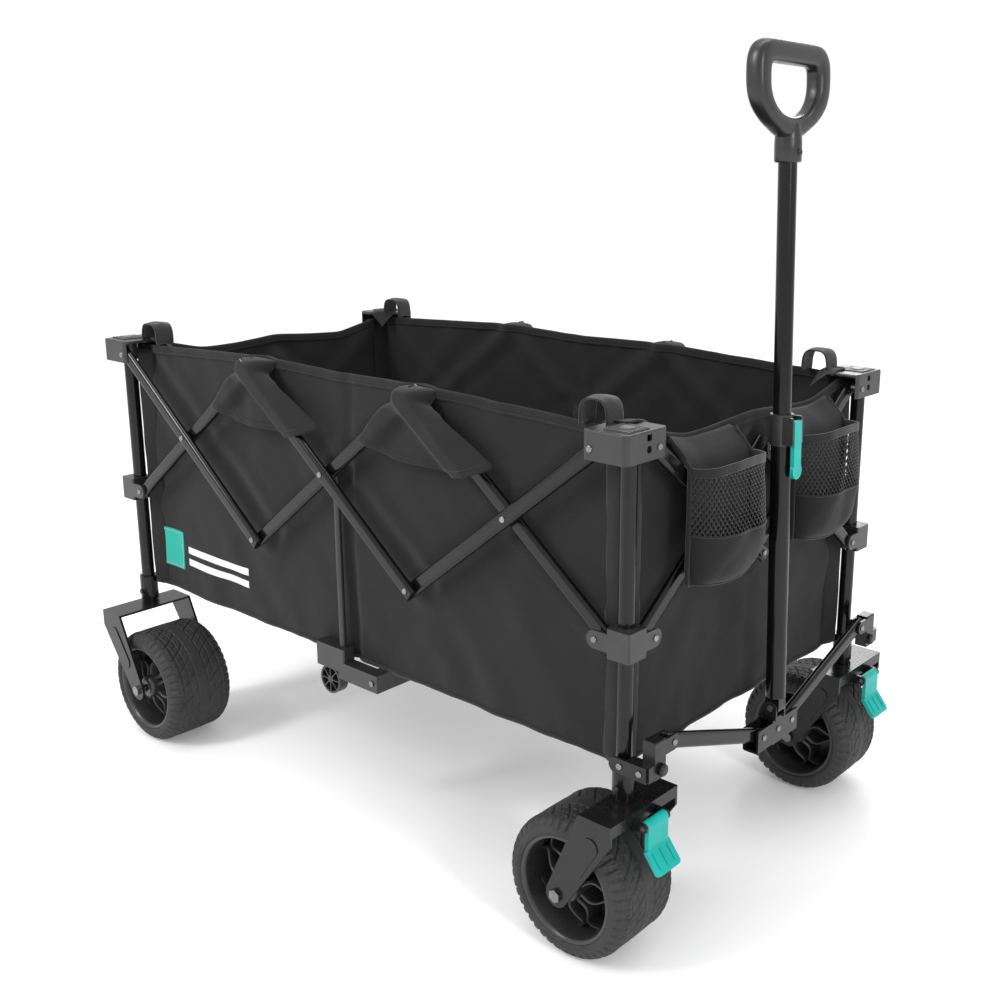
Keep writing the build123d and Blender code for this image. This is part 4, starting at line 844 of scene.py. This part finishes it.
def tyre_mesh():
    """A low-profile tyre with shoulder lugs, dashed grooves and curved sipes."""
    shoulder = 17 * MM
    flat = np.linspace(-(WHEEL_HALF - shoulder), WHEEL_HALF - shoulder, 70)
    turn = np.linspace(0, pi / 2, 22)[1:]
    arc_r, arc_y = WHEEL_R - shoulder, WHEEL_HALF - shoulder
    wall_line = [(arc_r + shoulder * cos(a), arc_y + shoulder * sin(a)) for a in turn]
    wall_line += [(RIM_R + 2.5 * MM, WHEEL_HALF - 1.0 * MM), (RIM_R + 0.6 * MM, WHEEL_HALF - 3.5 * MM)]
    wall_line += [(RIM_R - 0.5 * MM, WHEEL_HALF - 8 * MM)]
    crown = 1.2 * MM * (flat / WHEEL_HALF) ** 2
    tread_line = [(WHEEL_R - c, y) for c, y in zip(crown, flat)]
    mirror = [(r, -y) for r, y in reversed(wall_line)]
    profile = np.array(mirror + tread_line + wall_line)
    angle = np.linspace(0, 2 * pi, TYRE_SECTIONS, endpoint=False)
    theta, index = np.meshgrid(angle, np.arange(len(profile)), indexing="ij")
    r, y = profile[index, 0], profile[index, 1]
    travel = theta * WHEEL_R
    side = np.abs(y)
    tread = np.clip((r - (WHEEL_R - 13 * MM)) / (4 * MM), 0, 1)
    cut = np.zeros_like(r)
    circumference = 2 * pi * WHEEL_R

    def groove(away, width):
        return np.clip(1.35 - np.abs(away) / (width / 2), 0, 1)

    def repeat(value, count):
        pitch = circumference / count
        return (value + pitch / 2) % pitch - pitch / 2

    def between(value, low, high):
        return (value > low * MM) & (value < high * MM)

    for centre, width, count in ((9 * MM, 1.6 * MM, 48), (20 * MM, 1.9 * MM, 36), (31 * MM, 1.7 * MM, 48)):
        pitch = circumference / count
        gap = np.abs(repeat(travel + np.sign(y) * pitch / 4, count)) > 0.36 * pitch
        cut = np.maximum(cut, groove(side - centre, width) * np.where(gap, 0.25, 1.0) * 1.6 * MM)
    lean = np.sign(y) * 1.05 * (side - 9 * MM) - np.sign(y) * 9 * (side - 9 * MM) ** 2
    main = groove(repeat(travel + lean, TREAD_BLOCKS), 2.6 * MM) * between(side, 9, 39)
    cut = np.maximum(cut, main * 2.0 * MM)
    sipe = groove(repeat(travel + lean + circumference / LUGS, TREAD_BLOCKS), 1.5 * MM)
    cut = np.maximum(cut, sipe * between(side, 13, 28) * 1.1 * MM)
    offset = travel + np.sign(y) * 6 * MM
    lug = groove(repeat(offset, LUGS), 4.2 * MM) * (side > 37 * MM)
    cut = np.maximum(cut, lug * 2.4 * MM)
    notch = groove(repeat(offset + circumference / (2 * LUGS), LUGS), 1.8 * MM)
    cut = np.maximum(cut, notch * between(side, 36, 42) * 1.2 * MM)
    bead = 0.7 * MM * np.exp(-(((r - 69 * MM) / (1.2 * MM)) ** 2))
    depth = cut * tread
    lean_in = np.clip((side - (WHEEL_HALF - shoulder)) / shoulder, 0, 1)
    r = r - depth * (1 - 0.6 * lean_in)
    y = y - np.sign(y) * (depth * 0.8 * lean_in - bead)
    return np.stack([r * np.sin(theta), y, r * np.cos(theta)], 2)


def ring_points(profile, sections=96):
    """A surface of revolution about the wheel's axle, from (radius, side) pairs."""
    profile = np.array(profile)
    theta = np.linspace(0, 2 * pi, sections, endpoint=False)[:, None]
    r, y = profile[None, :, 0], profile[None, :, 1]
    return np.stack([r * np.sin(theta), y + 0 * theta, r * np.cos(theta)], 2)


# Halves of the rim's sections and of a spoke's, in mm
BARREL = [(63.4, 43), (65.2, 46.2), (65.0, 48.4), (63.2, 49.2), (60.6, 48.2)]
BARREL += [(59.2, 45), (58.6, 40), (57.8, 34), (57.4, 10)]
DISC = [(58, 4), (40, 7), (24, 10), (17.5, 14), (17, 40)]
DISC += [(15.5, 45), (13.5, 46.3), (6, 46.3), (5.2, 45), (4.2, 44)]
SPOKE = [(-2.6, 0.0), (-2.3, 0.95), (-1.3, 1.0), (1.3, 1.0), (2.3, 0.95), (2.6, 0.0)]
SPOKES = 10


def rim_parts():
    """Vertices and faces of the rim: barrel, lips, web, hub and S-shaped spokes."""
    verts, faces = [], []

    def take(points, made):
        start = sum(len(v) for v in verts)
        verts.append(points.reshape(-1, 3))
        faces.extend([tuple(start + i for i in face) for face in made])

    for half in (BARREL, DISC):
        section = [(r * MM, y * MM) for r, y in half]
        section += [(r, -y) for r, y in reversed(section)]
        loop = ring_points(section + [section[0]])
        take(loop, grid_faces(len(loop), len(section) + 1, True))
    steps = 22
    t = np.linspace(0, 1, steps)
    radius = (15 + 44 * t) * MM
    for number in range(SPOKES):
        flip = 1 if number % 2 else -1
        bend = flip * radians(15) * np.sin(2 * pi * t) * (0.35 + 0.65 * t) + number * 2 * pi / SPOKES
        for side in (-1, 1):
            height = (37 - 13 * t**1.3) * MM
            rows = []
            for offset, share in SPOKE:
                x = radius * np.sin(bend) + offset * MM * np.cos(bend)
                z = radius * np.cos(bend) - offset * MM * np.sin(bend)
                y = side * (5 * MM + (height - 5 * MM) * share)
                rows.append(np.stack([x, y, z], 1))
            block = np.array(rows)
            made = grid_faces(len(block), steps)
            if side < 0:
                made = [tuple(reversed(face)) for face in made]
            take(block, made)
    return np.concatenate(verts), faces


tyre_points = tyre_mesh()
rim_verts, rim_faces = rim_parts()
shared_tyre = shared_rim = None
for corner in CORNERS:
    low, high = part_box(f"{corner}_wheel")
    middle = (low + high) / 2
    tyre = add_grid(f"{corner}_tyre", tyre_points, [RUBBER], None, 0.0, 0, True)
    rim = add(f"{corner}_rim", rim_verts, rim_faces, [RIM])
    if shared_tyre is None:
        shared_tyre, shared_rim = tyre.data, rim.data
    tyre.data, rim.data = shared_tyre, shared_rim
    for piece in (tyre, rim):
        piece.location = middle
        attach(piece, f"{corner}_wheel")
    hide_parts(f"{corner}_wheel")


# Hand grip
LEAN_AXIS = Vector(JOINTS["handle_telescope"]["axis"])
HANDLE_FOOT = Vector(JOINTS["handle_pivot"]["pos_m"])
HANDLE_TURN = Vector((0, 0, 1)).rotation_difference(LEAN_AXIS).to_matrix().to_4x4()
GRIP_LOW, GRIP_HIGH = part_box("handle_grip")
# The right halves of the grip's outlines, as (across, down from its top) in mm
GRIP_OUTER = [(0, 0), (50, 0), (62, 2.5), (70, 9), (75, 19), (76, 30), (76, 45)]
GRIP_OUTER += [(74, 57), (68, 69), (58, 79), (44, 88.5), (30, 95), (19, 101), (0, 104)]
GRIP_INNER = [(0, 24.5), (42, 24.5), (48, 26), (51, 30), (51.5, 38), (51, 50)]
GRIP_INNER += [(47, 60), (39, 69), (28, 75.5), (14, 79), (0, 80)]
GRIP_HALF_W = 76  # the outline's own half width, which is fitted to the frame's
GRIP_STEPS = 120
# The neck, as (radius, height) in mm, and a screw head, as (radius, rise)
NECK = [(11.0, 0), (14.2, 0), (15.4, 1.5), (15.5, 20), (15.0, 30), (13.5, 40), (10, 46)]
SCREW_HEAD = [(4.2, 0), (4.2, 0.8), (3.4, 1.5), (1.4, 1.6), (1.2, 0.7), (0.01, 0.7)]


def outline(half, count):
    """A closed outline of evenly spaced (across, depth) points, from a shape's right half."""
    mirror = [(-across, depth) for across, depth in reversed(half[1:-1])]
    points = np.array(half + mirror + half[:1], float)
    run = np.concatenate([[0], np.cumsum(np.linalg.norm(np.diff(points, axis=0), axis=1))])
    where = np.linspace(0, run[-1], count, endpoint=False)
    even = np.stack([np.interp(where, run, points[:, k]) for k in (0, 1)], 1)
    for _ in range(3):
        even = (np.roll(even, 1, 0) + 2 * even + np.roll(even, -1, 0)) / 4
    return even


def hand_grip():
    """The D-shaped grip: a thick rounded ring on a round neck."""
    top = GRIP_HIGH.z - HANDLE_FOOT.z
    bottom = GRIP_LOW.z - HANDLE_FOOT.z
    scale = (GRIP_HIGH.y - GRIP_LOW.y) / 2 / GRIP_HALF_W
    outer, inner = outline(GRIP_OUTER, GRIP_STEPS), outline(GRIP_INNER, GRIP_STEPS)
    turn = np.linspace(0, 2 * pi, 33)
    across = rounded(np.cos(turn), 0.7)
    deep = rounded(np.sin(turn), 0.7)
    middle, reach = (outer + inner) / 2, (outer - inner) / 2
    plan = middle[:, None] + reach[:, None] * across[None, :, None]
    ring = np.zeros((GRIP_STEPS, len(turn), 3))
    ring[..., 0] = 12.25 * MM * deep[None]
    ring[..., 1] = plan[..., 0] * scale
    ring[..., 2] = top - plan[..., 1] * MM
    grip = add_grid("hand_grip", ring, [SOFT_GRIP], wrap=True)
    theta = np.linspace(0, 2 * pi, 49)[:, None]
    r, z = (np.array(NECK).T * MM)[:, None, :]
    points = np.stack([r * np.cos(theta), r * np.sin(theta), bottom + z + 0 * theta], 2)
    pieces = [grip, add_grid("hand_grip_neck", points, [SOFT_GRIP])]
    angle = np.linspace(0, 2 * pi, 25)[:, None]
    r, rise = (np.array(SCREW_HEAD).T * MM)[:, None, :]
    for up, face in ((11, 15.0), (37, 12.0)):
        out = face * MM + rise + 0 * angle
        head = np.stack([out, r * np.cos(angle), bottom + up * MM + r * np.sin(angle)], 2)
        pieces.append(add_grid(f"hand_grip_screw_{up}", head, [BRACKET]))
    for piece in pieces:
        piece.data.transform(Matrix.Translation(HANDLE_FOOT) @ HANDLE_TURN)
        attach(piece, "handle_upper")
    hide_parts("handle_grip")


hand_grip()


# Floor, light and camera
def studio():
    """A plain pale floor, a white room and soft lights."""
    size = 40.0
    corners = [(-size, -size, 0), (size, -size, 0), (size, size, 0), (-size, size, 0)]
    ground = add("ground", corners, [(0, 1, 2, 3)], [])
    r = Recipe("pale_floor")
    r.put(r.shader.inputs["Base Color"], r.blend(r.noise(r.place(False), 3.0), grey(0.93), grey(0.96)))
    r.shader.inputs["Roughness"].default_value = 0.6
    r.shader.inputs["Emission Color"].default_value = (1, 1, 1, 1)
    r.shader.inputs["Emission Strength"].default_value = 0.09
    r.shader.inputs["Specular IOR Level"].default_value = 0.2
    ground.data.materials.append(r.material)
    ground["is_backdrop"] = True
    world = bpy.data.worlds.new("white_room")
    world.use_nodes = True
    backdrop = world.node_tree.nodes["Background"]
    backdrop.inputs["Color"].default_value = (1, 1, 1, 1)
    backdrop.inputs["Strength"].default_value = 1.0
    bpy.context.scene.world = world
    # name, place, width, power
    lamps = (
        ("key", (-1.2, -2.8, 2.7), 1.2, 66.0),
        ("side", (3.4, -1.0, 1.7), 0.9, 36.0),
        ("top", (0.2, 0.4, 3.4), 2.0, 34.0),
        ("back", (-1.0, 3.0, 2.2), 1.2, 20.0),
    )
    target = Vector((0, 0, 0.4))
    for name, place, width, power in lamps:
        light = bpy.data.lights.new(name + "_light", "AREA")
        light.shape, light.size, light.size_y = "RECTANGLE", 0.45 * width, 1.5 * width
        light.energy = power
        lamp = bpy.data.objects.new(name + "_light", light)
        lamp.location = place
        lamp.rotation_mode = "QUATERNION"
        lamp.rotation_quaternion = (target - Vector(place)).to_track_quat("-Z", "Y")
        bpy.context.scene.collection.objects.link(lamp)


def photo_camera():
    """The camera, ahead of the front right corner and a little above the tub."""
    yaw, pitch, roll = 0.668239, 0.241659, 0.014885
    back = Vector((sin(yaw) * cos(pitch), -cos(yaw) * cos(pitch), sin(pitch)))
    level = Vector((cos(yaw), sin(yaw), 0))
    up = back.cross(level)
    right = cos(roll) * level + sin(roll) * up
    top = cos(roll) * up - sin(roll) * level
    data = bpy.data.cameras.new("camera")
    data.sensor_width, data.lens = 36.0, 43.18
    data.shift_x, data.shift_y = -0.121, -0.040
    camera = bpy.data.objects.new("camera", data)
    turn = Matrix((right, top, back)).transposed().to_4x4()
    camera.matrix_world = Matrix.Translation((MIDDLE_X + 1.21603, -1.19718, 0.87735)) @ turn
    bpy.context.scene.collection.objects.link(camera)
    bpy.context.scene.camera = camera


studio()
photo_camera()
bpy.context.scene.view_settings.view_transform = "Standard"
bpy.context.view_layer.update()
low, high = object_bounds()
